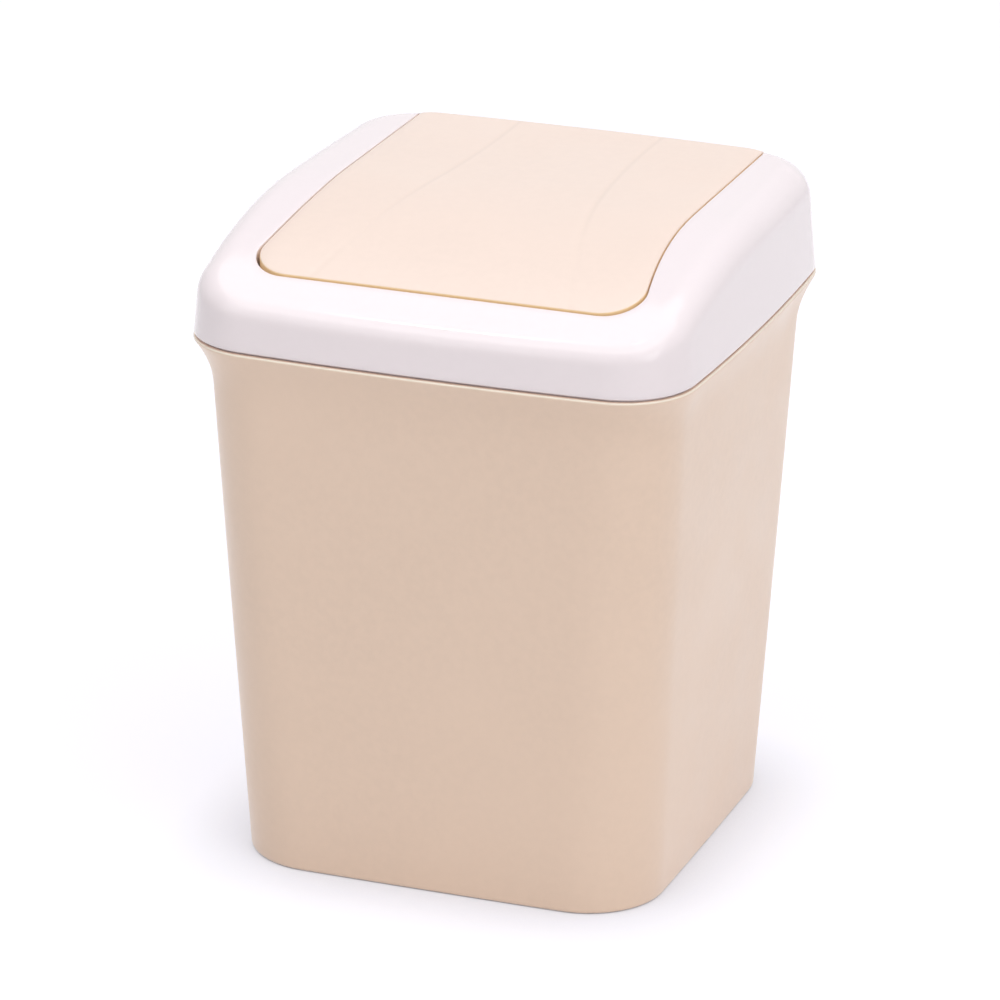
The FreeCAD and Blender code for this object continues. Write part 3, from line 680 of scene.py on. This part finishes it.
def rib_tree():
    """Add two long curved ribs and a cross rib that follow the underside of a panel."""
    tree, start, size = new_tree("Panel ribs", (
        "Thickness", "Depth", "Half Spacing", "Curve", "Back", "Front", "Half Width", "Bottom",
    ))
    panel = start.outputs["Geometry"]
    profile = add_node(tree, "GeometryNodeCurvePrimitiveQuadrilateral", {
        "Width": size["Thickness"], "Height": size["Depth"] * (1 + RIB_ROOT),
    })
    factor = add_node(tree, "GeometryNodeSplineParameter")
    share = Field(tree, factor.outputs["Factor"])
    joined = add_node(tree, "GeometryNodeJoinGeometry")
    tree.links.new(panel, joined.inputs[0])
    for turn in (-1.0, 1.0, 0.0):
        if turn:
            y = size["Back"].mix(size["Front"] * -1.0, share)
            run = size["Back"] - y
            arch = size["Curve"] - (size["Curve"] * size["Curve"] - run * run).root()
            x = (size["Half Spacing"] + arch) * turn
        else:
            x = size["Half Width"] * (share * 2.0 - 1.0)
            y = 0.0
        line = add_node(tree, "GeometryNodeCurvePrimitiveLine")
        line = add_node(tree, "GeometryNodeResampleCurve", {
            "Curve": line.outputs[0], "Count": SIDE_STEPS,
        })
        flat = put(tree, line.outputs[0], x, y, size["Bottom"])
        ray = add_node(tree, "GeometryNodeRaycast", {
            "Target Geometry": panel, "Ray Direction": (0.0, 0.0, 1.0), "Ray Length": 1.0,
        })
        hit = add_node(tree, "ShaderNodeSeparateXYZ", {0: ray.outputs["Hit Position"]})
        middle = Field(tree, hit.outputs["Z"]) - size["Depth"] * ((1 - RIB_ROOT) / 2)
        rail = put(tree, flat, x, y, middle)
        upright = add_node(tree, "GeometryNodeSetCurveNormal", {0: rail}, mode="Z_UP")
        rib = add_node(tree, "GeometryNodeCurveToMesh", {
            "Curve": upright.outputs[0], "Profile Curve": profile.outputs[0], "Fill Caps": True,
        })
        tree.links.new(rib.outputs[0], joined.inputs[0])
    end_tree(tree, start, joined.outputs[0])
    return tree


# Materials


def new_material(name):
    """A material with a Principled shader, and its tree and shader."""
    material = bpy.data.materials.new(name)
    material.use_nodes = True
    tree = material.node_tree
    return material, tree, tree.nodes["Principled BSDF"]


def noise(tree, scale, detail):
    """Noise over the piece, with a scale per metre."""
    place = add_node(tree, "ShaderNodeTexCoord")
    return add_node(tree, "ShaderNodeTexNoise", {
        "Vector": place.outputs["Object"], "Scale": scale, "Detail": detail,
    }).outputs[0]


def piece_place(tree):
    """The place on the piece, as outputs named X, Y and Z."""
    place = add_node(tree, "ShaderNodeTexCoord")
    return add_node(tree, "ShaderNodeSeparateXYZ", {0: place.outputs["Object"]}).outputs


def ramp(tree, value, low, high, start=0.0, end=1.0, kind="LINEAR"):
    """Map a value from one range to another, held at its ends."""
    values = {0: value, 1: low, 2: high, 3: start, 4: end}
    return add_node(tree, "ShaderNodeMapRange", values, interpolation_type=kind).outputs[0]


def blend(tree, share, first, second):
    """A mix of two colours."""
    node = add_node(tree, "ShaderNodeMix", {0: share, 6: first, 7: second}, data_type="RGBA")
    return node.outputs[2]


def shaded(tint, share):
    """A colour made darker or lighter."""
    return (*[min(part * share, 1.0) for part in tint], 1.0)


def moulded_plastic(name, tint, gloss, mottle, grain):
    """Moulded plastic: slow mottling, fine flow marks and a slightly uneven gloss."""
    material, tree, shader = new_material(name)
    slow = ramp(tree, noise(tree, *MOTTLE), *NOISE_RANGE)
    fine = ramp(tree, noise(tree, *FLOW), *FLOW_RANGE)
    base = blend(tree, slow, shaded(tint, 1 - mottle), shaded(tint, 1 + mottle / 2))
    base = blend(tree, fine, base, blend(tree, FLOW_SHARE, base, shaded(tint, 1 + mottle)))
    tree.links.new(base, shader.inputs["Base Color"])
    rough = ramp(tree, noise(tree, *SHEEN), *NOISE_RANGE, *[gloss + part for part in GLOSS_SPREAD])
    tree.links.new(rough, shader.inputs["Roughness"])
    bump = add_node(tree, "ShaderNodeBump", {
        "Height": noise(tree, *GRAIN), "Strength": grain, "Distance": GRAIN_HEIGHT,
    })
    tree.links.new(bump.outputs[0], shader.inputs["Normal"])
    return material, tree, shader, bump


def tub_plastic(tint, tub):
    """The tub's plastic, with a painted highlight: the rim's rounded edge is paler, standing in for light
    caught there.
    """
    material, tree, shader, _ = moulded_plastic(
        "tub_beige_plastic", tint, gloss=0.32, mottle=0.03, grain=0.25
    )
    z = piece_place(tree)["Z"]
    # Painted highlight: a paler band over the rim's rounding, standing in for light caught on it
    below = tub.height - tub.rim_round
    rising = ramp(tree, z, below, below + RIM_HIGHLIGHT_START * tub.rim_round)
    edge = ramp(tree, z, tub.height - RIM_HIGHLIGHT_END * tub.rim_round, tub.height, rising, 0.0)
    base = shader.inputs["Base Color"].links[0].from_socket
    painted_highlight = [1 - kept * (1 - part) for part, kept in zip(tint, RIM_HIGHLIGHT_TINT)]
    tree.links.new(blend(tree, edge, base, (*painted_highlight, 1.0)), shader.inputs["Base Color"])
    return material


def flap_plastic(tint, flap):
    """The flap's plastic, with painted shade on its edge faces in the gap and faint sink marks over the
    long ribs, each a dip in the bumps with a painted shade line along it.
    """
    material, tree, shader, bump = moulded_plastic(
        "flap_cream_plastic", tint, gloss=0.34, mottle=0.02, grain=0.2
    )
    place = piece_place(tree)
    run = Field(tree, place["Y"]) - flap.rib_back
    arch = (run * run * -1.0 + flap.rib_curve ** 2).root() * -1.0 + flap.rib_curve
    off_rib = (Field(tree, place["X"]).apply("ABSOLUTE") - arch - flap.rib_half).apply("ABSOLUTE")
    dip = ramp(tree, off_rib, 0.0, SINK_WIDTH * flap.rib, kind="SMOOTHSTEP")
    sink = add_node(tree, "ShaderNodeBump", {"Height": dip, "Strength": 1.0, "Distance": SINK_DEPTH})
    tree.links.new(sink.outputs[0], bump.inputs["Normal"])

    # Painted shade: a faint darker line along each long rib, standing in for the shade in its sink mark
    line = ramp(tree, off_rib, 0.0, SHADE_LINE_WIDTH * flap.rib, 1.0, 0.0, kind="SMOOTHSTEP")
    share = Field(tree, line) * ramp(tree, place["Y"], *SHADE_LINE_FADE)
    base = shader.inputs["Base Color"].links[0].from_socket
    base = blend(tree, share, base, shaded(tint, SHADE_LINE_FACTOR))
    # Painted shade: the flap's edge faces are made deeper and warmer, standing in for the shade in the gap
    edge = add_node(tree, "ShaderNodeAttribute", attribute_name=EDGE)
    edge_shade_colour = (*[part * kept for part, kept in zip(tint, EDGE_SHADE_TINT)], 1.0)
    tree.links.new(blend(tree, edge.outputs["Fac"], base, edge_shade_colour), shader.inputs["Base Color"])
    return material


# The tub


def tub_section(tub):
    """The wall's section, as (inset, height) points from under the floor, over the rim, to the floor."""
    floor_top = tub.foot_height + tub.floor
    flare_foot = tub.height - tub.flare_height
    points = [(tub.foot_width, tub.foot_height), (tub.foot_width, 0.0)]
    points += quarter_round(tub.foot_round, ROUND_STEPS)
    points += [(0.0, z) for z in spread(tub.foot_round, flare_foot, TOP_STEPS)[1:]]
    taper = (tub.rim_half - tub.flare_out - tub.base_half) / tub.height
    slope = taper + 2 * tub.flare_out / tub.flare_height
    lean = math.atan(slope)
    round_foot = tub.height - tub.rim_round * (1 + math.sin(lean))
    points += [(0.0, z) for z in spread(flare_foot, round_foot, SHOULDER_STEPS)[1:]]
    for heading in spread(-lean, math.pi / 2, 2 * ROUND_STEPS)[1:]:
        points.append((
            tub.rim_round * (slope * math.sin(heading) + math.hypot(1.0, slope) - math.cos(heading)),
            tub.height - tub.rim_round * (1 - math.sin(heading)),
        ))
    points += [(tub.wall, z) for z in spread(tub.height, flare_foot, SHOULDER_STEPS)]
    points += [(tub.wall, z) for z in spread(flare_foot, floor_top + tub.floor_round, TOP_STEPS)[1:]]
    points += [(tub.wall + inset, floor_top + rise)
               for rise, inset in quarter_round(tub.floor_round, ROUND_STEPS)[1:]]
    return points


class BIN_OT_tub(Operator):
    """Model the tub: a thin tapered wall that flares at the rim, on a foot ring."""
    bl_idname = "bin.tub"
    bl_label = "Tub"

    def execute(self, context):
        tub = context.scene.bin_tub
        material = tub_plastic(context.scene.bin_finish.tub, tub)
        points = tub_section(tub)
        data = bpy.data.meshes.new("tub_moulding")
        edges = [(index, index + 1) for index in range(len(points) - 1)]
        data.from_pydata([(inset, 0.0, z) for inset, z in points], edges, [])
        item = add_object(data)
        run_tree(item, square_lathe_tree(), {
            "Height": tub.height, "Rim Half": tub.rim_half, "Rim Corner": tub.rim_corner,
            "Rim Bow": tub.rim_bow, "Base Half": tub.base_half, "Base Corner": tub.base_corner,
            "Base Bow": tub.base_bow, "Flare Out": tub.flare_out, "Flare Height": tub.flare_height,
            "Side Points": float(SIDE_STEPS), "Corner Points": float(CORNER_STEPS), "Material": material,
        })
        mesh = bmesh.new()
        mesh.from_mesh(item.data)
        bmesh.ops.holes_fill(mesh, edges=[edge for edge in mesh.edges if edge.is_boundary], sides=0)
        item.data = close_mesh(mesh, "tub_moulding")
        finish_piece(item, "tub", "tub", material)
        return {"FINISHED"}


# The cover


def tub_outline(tub, z):
    """Half width, corner and bow of the tub's outer outline at a height."""
    share = z / tub.height
    flare = max(1 - (tub.height - z) / tub.flare_height, 0.0)
    half = tub.base_half + (tub.rim_half - tub.flare_out - tub.base_half) * share
    corner = tub.base_corner + (tub.rim_corner - tub.base_corner) * share
    bow = 1 / ((1 - share) / tub.base_bow + share / tub.rim_bow)
    return half + tub.flare_out * flare ** 2, corner, bow


class CoverRing:
    """The cover's closed section at each station round the rim."""

    def __init__(self, tub, cover, flap):
        self.tub = tub
        self.cover = cover
        self.form = LidForm(tub, cover, cover.top, cover.fall)
        self.ledge = flap.top - flap.tail_drop
        corner = flap.corner + flap.gap - flap.corner_ease
        self.opening = FlapOutline(cover, flap, flap.gap, corner)
        self.setback = FlapOutline(cover, flap, flap.gap + cover.edge, corner + cover.edge)
        self.outline = (cover.half, cover.corner, cover.bow)
        self.end_share = self.notch_share()
        column = self.column(0, True, self.end_share)
        inner_round = cover.back_round - cover.wall
        self.end_y = self.form.shoulder(*column, 0.0, cover.back_round)[-1].y
        self.end_y_inside = self.form.shoulder(*column, cover.wall, inner_round)[-1].y

    def notch_share(self):
        """Where along the back corner the notch for the flap's tail starts."""
        def in_notch(share):
            return square_point(*self.outline, 0, True, share)[0].x <= self.opening.half

        return narrow(0.0, 1.0, in_notch)

    def column(self, quarter, on_corner, share):
        """Where a station's column starts on the cover's outline, and its way in."""
        place, inward = square_point(*self.outline, quarter, on_corner, share)
        if on_corner and quarter in (0, 1) and abs(abs(place.x) - self.opening.half) < MERGE * 10:
            inward = Vector((0.0, -1.0))
        return place, inward

    def rounding(self, quarter, on_corner, share):
        """Shoulder rounding at a station: along the sides it grows to the back."""
        cover = self.cover
        at_corners = [cover.near_round, cover.far_round, cover.back_round, cover.back_round,
                      cover.far_round, cover.near_round, cover.front_round, cover.front_round]
        stage = 2 * quarter + (1 if on_corner else 0)
        start, end = at_corners[stage], at_corners[(stage + 1) % len(at_corners)]
        return start + (end - start) * share

    def low_points(self, quarter, on_corner, share):
        """The section below the ledge: inner wall, web, plug skirt, shadow gap and outer wall."""
        tub, cover, form = self.tub, self.cover, self.form
        place, inward = self.column(quarter, on_corner, share)
        skirt = [part - tub.wall - cover.skirt_gap for part in tub_outline(tub, cover.skirt_foot)]
        throat = [part - cover.skirt for part in skirt]
        web = [part - cover.seam_depth for part in self.outline]

        def upright(outline, *heights):
            spot = square_point(*outline, quarter, on_corner, share)[0]
            return [Vector((spot.x, spot.y, z)) for z in heights]

        web_top = tub.height + cover.web
        wall_foot = form.seam + cover.seam_round
        outside, inside = self.shoulders(quarter, on_corner, share)
        inner_heights = spread(min(self.ledge, inside[0].z), web_top, TOP_STEPS)
        outer_heights = spread(wall_foot, min(self.ledge, outside[0].z), TOP_STEPS)[1:]
        points = form.on_wall(place, inward, inner_heights, cover.wall)
        points += upright(throat, web_top, cover.skirt_foot)
        points += upright(skirt, cover.skirt_foot, tub.height)
        points += upright(web, tub.height, form.seam)
        points += [stand(place, inward, run, form.seam + rise)
                   for run, rise in quarter_round(cover.seam_round, EDGE_STEPS)]
        points += form.on_wall(place, inward, outer_heights)
        return points

    def shoulders(self, quarter, on_corner, share):
        """The rounded shoulder at a station, outside and inside."""
        place, inward = self.column(quarter, on_corner, share)
        rounding = self.rounding(quarter, on_corner, share)
        outside = self.form.shoulder(place, inward, 0.0, rounding)
        return outside, self.form.shoulder(place, inward, self.cover.wall, rounding - self.cover.wall)

    def edge_places(self, quarter, on_corner, share):
        """The station's places on the opening, on its set-back edge and behind its lip."""
        cover = self.cover
        side = 1.0 if quarter == 0 or (quarter == 3 and on_corner) else -1.0
        back_y = cover.half - cover.corner
        lip = cover.lip
        if on_corner and quarter in (0, 1):
            done = min((share if quarter == 0 else 1 - share) / self.end_share, 1.0)
            y = back_y + (self.end_y - back_y) * done
            inner_y = y + (self.end_y_inside - self.end_y) * done
            lip = cover.lip * (1 - done)
            places = [self.opening.on_side(y), self.setback.on_side(y),
                      Vector((self.opening.half + lip, inner_y))]
        elif on_corner:
            done = share if quarter == 2 else 1 - share
            places = [outline.on_corner(done) for outline in (self.opening, self.setback)]
            places.append(self.widened(places[0], places[1]))
        elif quarter == 3:
            side = 1.0
            places = [Vector((outline.corner_x * (2 * share - 1), -outline.front))
                      for outline in (self.opening, self.setback)]
            places.append(Vector((places[0].x, places[0].y - lip)))
        else:
            done = share if quarter == 0 else 1 - share
            places = []
            for outline in (self.opening, self.setback):
                start = outline.on_corner(0.0).y
                places.append(outline.on_side(start + (back_y - start) * done))
            places.append(self.widened(places[0], places[1]))
        return [Vector((side * place.x, place.y)) for place in places]

    def widened(self, place, outer):
        """The place behind the lip, along the way from the opening to its set-back edge."""
        return place + (outer - place) * (self.cover.lip / self.cover.edge)

    def high_points(self, quarter, on_corner, share):
        """The section above the ledge: wall, shoulder, top, opening edge, lip and inside."""
        cover, form = self.cover, self.form
        place, inward = self.column(quarter, on_corner, share)
        outside, inside = self.shoulders(quarter, on_corner, share)
        opening, setback, behind = self.edge_places(quarter, on_corner, share)
        start, finish = outside[-1].to_2d(), setback
        if on_corner and quarter in (0, 1) and inward.x == 0.0:
            finish, behind = start, inside[-1].to_2d()

        outer_heights = spread(min(self.ledge, outside[0].z), outside[0].z, WALL_STEPS)[:-1]
        inner_heights = spread(inside[0].z, min(self.ledge, inside[0].z), WALL_STEPS)[1:-1]
        points = form.on_wall(place, inward, outer_heights)
        points += outside
        points += [form.on_top(start.lerp(finish, part)) for part in spread(0.0, 1.0, TOP_STEPS)[1:]]
        edge = form.on_top(opening)
        down = Vector((edge.x, edge.y, edge.z - cover.edge))
        points += bend(points[-1], edge, down)
        points += [down, form.on_top(opening, cover.lip_depth), form.on_top(behind, cover.lip_depth)]
        points += [form.on_top(behind.lerp(inside[-1].to_2d(), part), cover.wall)
                   for part in spread(0.0, 1.0, EDGE_STEPS)[:-1]]
        points += reversed(inside)
        points += form.on_wall(place, inward, inner_heights, cover.wall)
        return points

    def stations(self):
        """Stations round the rim: those of the back wall's notch, then those of the full section."""
        back = [(1, False, share) for share in spread(0.0, 1.0, SIDE_STEPS)]
        notch = [(0, True, self.end_share), *back, (1, True, 1 - self.end_share)]
        last = spread(self.end_share, 0.0, CORNER_STEPS)
        rest = [(1, True, 1 - share) for share in last]
        for quarter, on_corner in ((2, False), (2, True), (3, False), (3, True), (0, False)):
            steps = CORNER_STEPS if on_corner else SIDE_STEPS
            rest += [(quarter, on_corner, share) for share in spread(0.0, 1.0, steps)[1:]]
        rest += [(0, True, share) for share in reversed(last)][1:]
        return notch, rest


def build_cover(tub, cover, flap):
    """The cover's mesh: the ring of sections, the caps of the notch and the bearing ears."""
    shape = CoverRing(tub, cover, flap)
    notch, rest = shape.stations()
    mesh = bmesh.new()
    low_rows = [add_row(mesh, shape.low_points(*station)) for station in notch]
    full_rows = [add_row(mesh, shape.low_points(*station) + shape.high_points(*station))
                 for station in rest]
    skin(mesh, low_rows, closed=True)
    skin(mesh, full_rows, closed=True)
    low_count = len(low_rows[0])
    for row in (full_rows[0], full_rows[-1]):
        mesh.faces.new([row[0], *reversed(row[low_count - 1:])])
    half = shape.opening.half
    plate = tongue(cover.ear_radius, cover.top - cover.wall / 2)
    for turn in (-1, 1):
        ends = sorted((turn * (half + STAND_OFF), turn * (half + cover.ear)))
        add_plate(mesh, plate, ring(cover.bore), *ends)
    return close_mesh(mesh, "cover_moulding")


class BIN_OT_cover(Operator):
    """Model the cover: a domed ring with an opening, bearing ears, a web and a plug skirt."""
    bl_idname = "bin.cover"
    bl_label = "Cover"

    def execute(self, context):
        scene = context.scene
        material = moulded_plastic(
            "cover_white_plastic", scene.bin_finish.cover, gloss=0.12, mottle=0.012, grain=0.1
        )[0]
        item = add_object(build_cover(scene.bin_tub, scene.bin_cover, scene.bin_flap))
        finish_piece(item, "cover_frame", "cover", material)
        return {"FINISHED"}


# The swing flap


class FlapPanel:
    """The flap's panel: rows from the tail's lower edge, over the back shoulder, to the front edge."""

    def __init__(self, tub, cover, flap):
        self.cover = cover
        self.flap = flap
        self.form = LidForm(tub, cover, flap.top, flap.fall)
        self.tail = flap.top - flap.tail_drop
        self.tail_inside = cover.half - flap.tail_inset
        self.rows = [("tail", share) for share in spread(0.0, 1.0, TOP_STEPS)[:-1]]
        self.rows += [("shoulder", step) for step in range(SHOULDER_STEPS + 1)]
        self.rows += [("side", share) for share in spread(0.0, 1.0, SIDE_STEPS)[1:]]
        self.rows += [("flare", share) for share in spread(0.0, 1.0, CORNER_STEPS)[1:]]
        self.rows += [("corner", share) for share in spread(0.0, 1.0, CORNER_STEPS)[1:]]

    def point(self, row, across, grow, depth):
        """A point at a depth below the panel's top, on the outline grown all round.

        The row is a kind and a share, and across runs from -1 on the left to 1 on the right.
        """
        kind, share = row
        edge = self.edge_place(row, 0.0)
        place = self.edge_place(row, grow)
        x = across * place.x
        near = max(1 - (edge.x - abs(x)) / self.flap.roll_width, 0.0)
        fade = (1 - share) ** 2 if kind == "corner" else 1.0
        depth += self.flap.roll * fade * near ** 2
        if kind in ("corner", "flare"):
            return self.form.on_top(Vector((x, place.y)), depth)
        return self.back_point(kind, share, x, depth)

    def edge_place(self, row, grow):
        """The right end of a row, on the outline grown all round."""
        kind, share = row
        outline = FlapOutline(self.cover, self.flap, grow, self.flap.corner + grow)
        if kind == "corner":
            return outline.on_corner(share)
        return outline.on_flare(share if kind == "flare" else 0.0)

    def back_point(self, kind, share, x, depth):
        """A point of the tail, of the back shoulder or of the straight-sided top in front of it."""
        bow = self.cover.bow
        place = Vector((x, self.cover.half - bow + math.sqrt(bow ** 2 - x ** 2)))
        inward = Vector((0.0, -1.0))
        shoulder = self.form.shoulder(place, inward, depth, self.flap.back_round - depth)
        if kind == "shoulder":
            return shoulder[share]
        if kind == "tail":
            z = self.tail + (shoulder[0].z - self.tail) * share
            return stand(place, inward, self.form.wall_run(z, depth), z)
        y = shoulder[-1].y + (-self.flap.flare_start - shoulder[-1].y) * share
        return self.form.on_top(Vector((x, y)), depth)

    def lip_point(self, row, across, grow):
        """A point of the lip's lower edge, or of the tail's inner face."""
        kind, share = row
        if kind not in ("tail", "shoulder"):
            return self.point(row, across, grow, self.flap.lip_depth)
        x = across * self.edge_place(row, grow).x
        start = self.back_point("shoulder", 0, x, 0.0).z
        if kind == "tail":
            z = self.tail + (start - self.tail) * share
        else:
            z = start + (self.flap.top - self.flap.lip_depth - start) * share / SHOULDER_STEPS
        return Vector((x, self.tail_inside, z))

    def inside_point(self, row, across):
        """A point of the panel's underside or of the tail's inner face."""
        point = self.point(row, across, -self.flap.lip, self.flap.thick)
        if row[0] == "tail":
            point.y = max(point.y, self.tail_inside)
        return point

    def border(self, row, across):
        """Points between the panel's top and its underside, over the rounded edge and the lip."""
        edge = self.flap.edge
        start = self.point(row, across, -edge, 0.0)
        corner = self.point(row, across, 0.0, 0.0)
        down = self.point(row, across, 0.0, edge)
        lip = [self.lip_point(row, across, grow) for grow in (0.0, -self.flap.lip)]
        return [*bend(start, corner, down), down, *lip]


def build_flap(tub, cover, flap):
    """The flap's mesh: panel, turned-down lip, tail, pivot lugs and stub pins."""
    panel = FlapPanel(tub, cover, flap)
    shares = spread(-1.0, 1.0, FLAP_ACROSS)
    mesh = bmesh.new()
    # A mark on the edge faces, where the material paints the shade of the gap
    painted_edge_shade = mesh.verts.layers.float.new(EDGE)
    tops = [add_row(mesh, [panel.point(row, across, -flap.edge, 0.0) for across in shares])
            for row in panel.rows]
    insides = [add_row(mesh, [panel.inside_point(row, across) for across in shares])
               for row in panel.rows]
    skin(mesh, tops)
    skin(mesh, insides)

    last = len(panel.rows) - 1
    right = [(level, FLAP_ACROSS) for level in range(last + 1)]
    front = [(last, column) for column in range(FLAP_ACROSS - 1, 0, -1)]
    left = [(level, 0) for level in range(last, -1, -1)]
    borders = []
    for level, column in (*right, *front, *left):
        row = panel.rows[level]
        between = add_row(mesh, panel.border(row, shares[column]))
        # Round the front corners the painted edge shade reaches higher up the edge
        upper = 1 if row[0] == "corner" else 2
        for vertex in between[upper:-1]:
            vertex[painted_edge_shade] = 1.0
        borders.append([tops[level][column], *between, insides[level][column]])
    skin(mesh, borders)
    mesh.faces.new([*tops[0], *borders[0][1:-1], *reversed(insides[0]), *reversed(borders[-1][1:-1])])

    half = cover.half - flap.side_land
    plate = tongue(flap.lug_radius, flap.top - flap.thick / 2)
    for turn in (-1, 1):
        ends = sorted((turn * (half - flap.lug), turn * (half - STAND_OFF)))
        add_plate(mesh, plate, ring(flap.pin / 2), *ends)
        ends = sorted((turn * (half - flap.lug / 2), turn * flap.pin_reach))
        rows = [add_row(mesh, [Vector((x, y, z)) for y, z in ring(flap.pin)]) for x in ends]
        skin(mesh, rows, closed=True)
        for row in rows:
            mesh.faces.new(row)
    return close_mesh(mesh, "flap_moulding")


class BIN_OT_flap(Operator):
    """Model the swing flap: a curved panel with a tail, ribs, pivot lugs and stub pins."""
    bl_idname = "bin.flap"
    bl_label = "Swing Flap"

    def execute(self, context):
        scene = context.scene
        tub, cover, flap = scene.bin_tub, scene.bin_cover, scene.bin_flap
        material = flap_plastic(scene.bin_finish.flap, flap)
        item = add_object(build_flap(tub, cover, flap))
        run_tree(item, rib_tree(), {
            "Thickness": flap.rib, "Depth": flap.rib_depth, "Half Spacing": flap.rib_half,
            "Curve": flap.rib_curve, "Back": flap.rib_back, "Front": flap.rib_front,
            "Half Width": cover.half - flap.side_land - flap.lug - 2 * STAND_OFF,
            "Bottom": tub.height, "Material": material,
        })
        item.data.set_sharp_from_angle(angle=SHARP)
        finish_piece(item, "swing_flap", "flap", material)
        return {"FINISHED"}


# The stage


def seen_rays(tree):
    """1 for a camera ray, and 1 for a ray that is mirrored or passes through, else 0."""
    rays = add_node(tree, "ShaderNodeLightPath")
    mirrored = Field(tree, rays.outputs["Is Glossy Ray"])
    mirrored = mirrored.apply("MAXIMUM", rays.outputs["Is Transmission Ray"])
    return Field(tree, rays.outputs["Is Camera Ray"]), mirrored


def floor_material():
    """A white floor that shows white to the camera and keeps the bin's shadow."""
    material, tree, shader = new_material("pale_floor")
    shader.inputs["Roughness"].default_value = FLOOR_ROUGHNESS
    shader.inputs["Specular IOR Level"].default_value = FLOOR_SHINE
    direct, mirrored = seen_rays(tree)
    base = blend(tree, direct, LIT_GREY, SEEN_GREY)
    tree.links.new(base, shader.inputs["Base Color"])
    near = add_node(tree, "ShaderNodeAmbientOcclusion", {"Distance": SHADOW_REACH}, samples=SHADOW_SAMPLES)
    open_share = Field(tree, near.outputs["AO"]).apply("POWER", SHADOW_FALL)
    glow = direct * open_share * SEEN_GLOW + mirrored * MIRRORED_GLOW
    feed(tree, shader.inputs["Emission Strength"], glow)
    shader.inputs["Emission Color"].default_value = GLOW_TINT
    return material


def add_floor():
    """A wide level floor under the bin."""
    mesh = bmesh.new()
    bmesh.ops.create_grid(mesh, x_segments=1, y_segments=1, size=FLOOR_HALF)
    data = bpy.data.meshes.new("floor")
    mesh.to_mesh(data)
    mesh.free()
    data.transform(Matrix.Translation((0.0, 0.0, -STAND_OFF)))
    floor = add_object(data)
    data.materials.append(floor_material())


def add_lamp(name, place, width, power):
    """A soft square lamp that faces the bin."""
    data = bpy.data.lights.new(name, "AREA")
    data.shape = "SQUARE"
    data.size = width
    data.energy = power
    lamp = bpy.data.objects.new(name, data)
    way = LAMP_AIM - Vector(place)
    lamp.matrix_world = Matrix.Translation(place) @ way.to_track_quat("-Z", "Y").to_matrix().to_4x4()
    bpy.context.scene.collection.objects.link(lamp)


def add_world(strength):
    """Even soft light from all round, that looks white itself."""
    world = bpy.data.worlds.new("studio_light")
    bpy.context.scene.world = world
    world.use_nodes = True
    background = world.node_tree.nodes["Background"]
    background.inputs["Color"].default_value = (1.0, 1.0, 1.0, 1.0)
    direct, mirrored = seen_rays(world.node_tree)
    seen = direct.apply("MAXIMUM", mirrored)
    feed(world.node_tree, background.inputs["Strength"], seen * (1.0 - strength) + strength)


def add_camera(stage):
    """The camera, at the angle of the view."""
    around = Vector((math.sin(stage.azimuth), -math.cos(stage.azimuth), 0.0))
    back = around * math.cos(stage.elevation) + Vector((0.0, 0.0, math.sin(stage.elevation)))
    level = Vector((math.cos(stage.azimuth), math.sin(stage.azimuth), 0.0))
    upright = back.cross(level)
    right = level * math.cos(stage.roll) + upright * math.sin(stage.roll)
    up = upright * math.cos(stage.roll) - level * math.sin(stage.roll)
    aim = Vector((0.0, 0.0, stage.aim_height)) + right * stage.aim_across + up * stage.aim_up
    data = bpy.data.cameras.new("camera")
    data.sensor_width = SENSOR
    data.lens = stage.lens
    data.clip_end = FAR
    camera = bpy.data.objects.new("camera", data)
    turn = Matrix((right, up, back)).transposed().to_4x4()
    camera.matrix_world = Matrix.Translation(aim + back * stage.distance) @ turn
    bpy.context.scene.collection.objects.link(camera)
    bpy.context.scene.camera = camera


class BIN_OT_stage(Operator):
    """Set up the floor, the light and the camera."""
    bl_idname = "bin.stage"
    bl_label = "Stage"

    def execute(self, context):
        context.scene.view_settings.view_transform = "Standard"
        add_floor()
        add_world(WORLD_LIGHT)
        for lamp in LAMPS:
            add_lamp(*lamp)
        add_camera(context.scene.bin_stage)
        return {"FINISHED"}


class BIN_PT_panel(Panel):
    """Lists the bin's pieces and their sizes."""
    bl_idname = "BIN_PT_panel"
    bl_label = "Desktop Bin"
    bl_space_type = "VIEW_3D"
    bl_region_type = "UI"
    bl_category = "Bin"

    def draw(self, context):
        for operator in OPERATORS:
            self.layout.operator(operator.bl_idname)
        for name, group in GROUPS.items():
            box = self.layout.box()
            for prop in group.__annotations__:
                box.prop(getattr(context.scene, name), prop)


GROUPS = {
    "bin_tub": BIN_PG_tub,
    "bin_cover": BIN_PG_cover,
    "bin_flap": BIN_PG_flap,
    "bin_finish": BIN_PG_finish,
    "bin_stage": BIN_PG_stage,
}
OPERATORS = (BIN_OT_tub, BIN_OT_cover, BIN_OT_flap, BIN_OT_stage)
CLASSES = (*GROUPS.values(), *OPERATORS, BIN_PT_panel)


def register():
    for item in CLASSES:
        bpy.utils.register_class(item)
    for name, group in GROUPS.items():
        setattr(bpy.types.Scene, name, PointerProperty(type=group))


def unregister():
    for name in GROUPS:
        delattr(bpy.types.Scene, name)
    for item in CLASSES:
        bpy.utils.unregister_class(item)


def main():
    register()
    bpy.ops.bin.tub()
    bpy.ops.bin.cover()
    bpy.ops.bin.flap()
    bpy.ops.bin.stage()


if __name__ == "__main__":
    main()
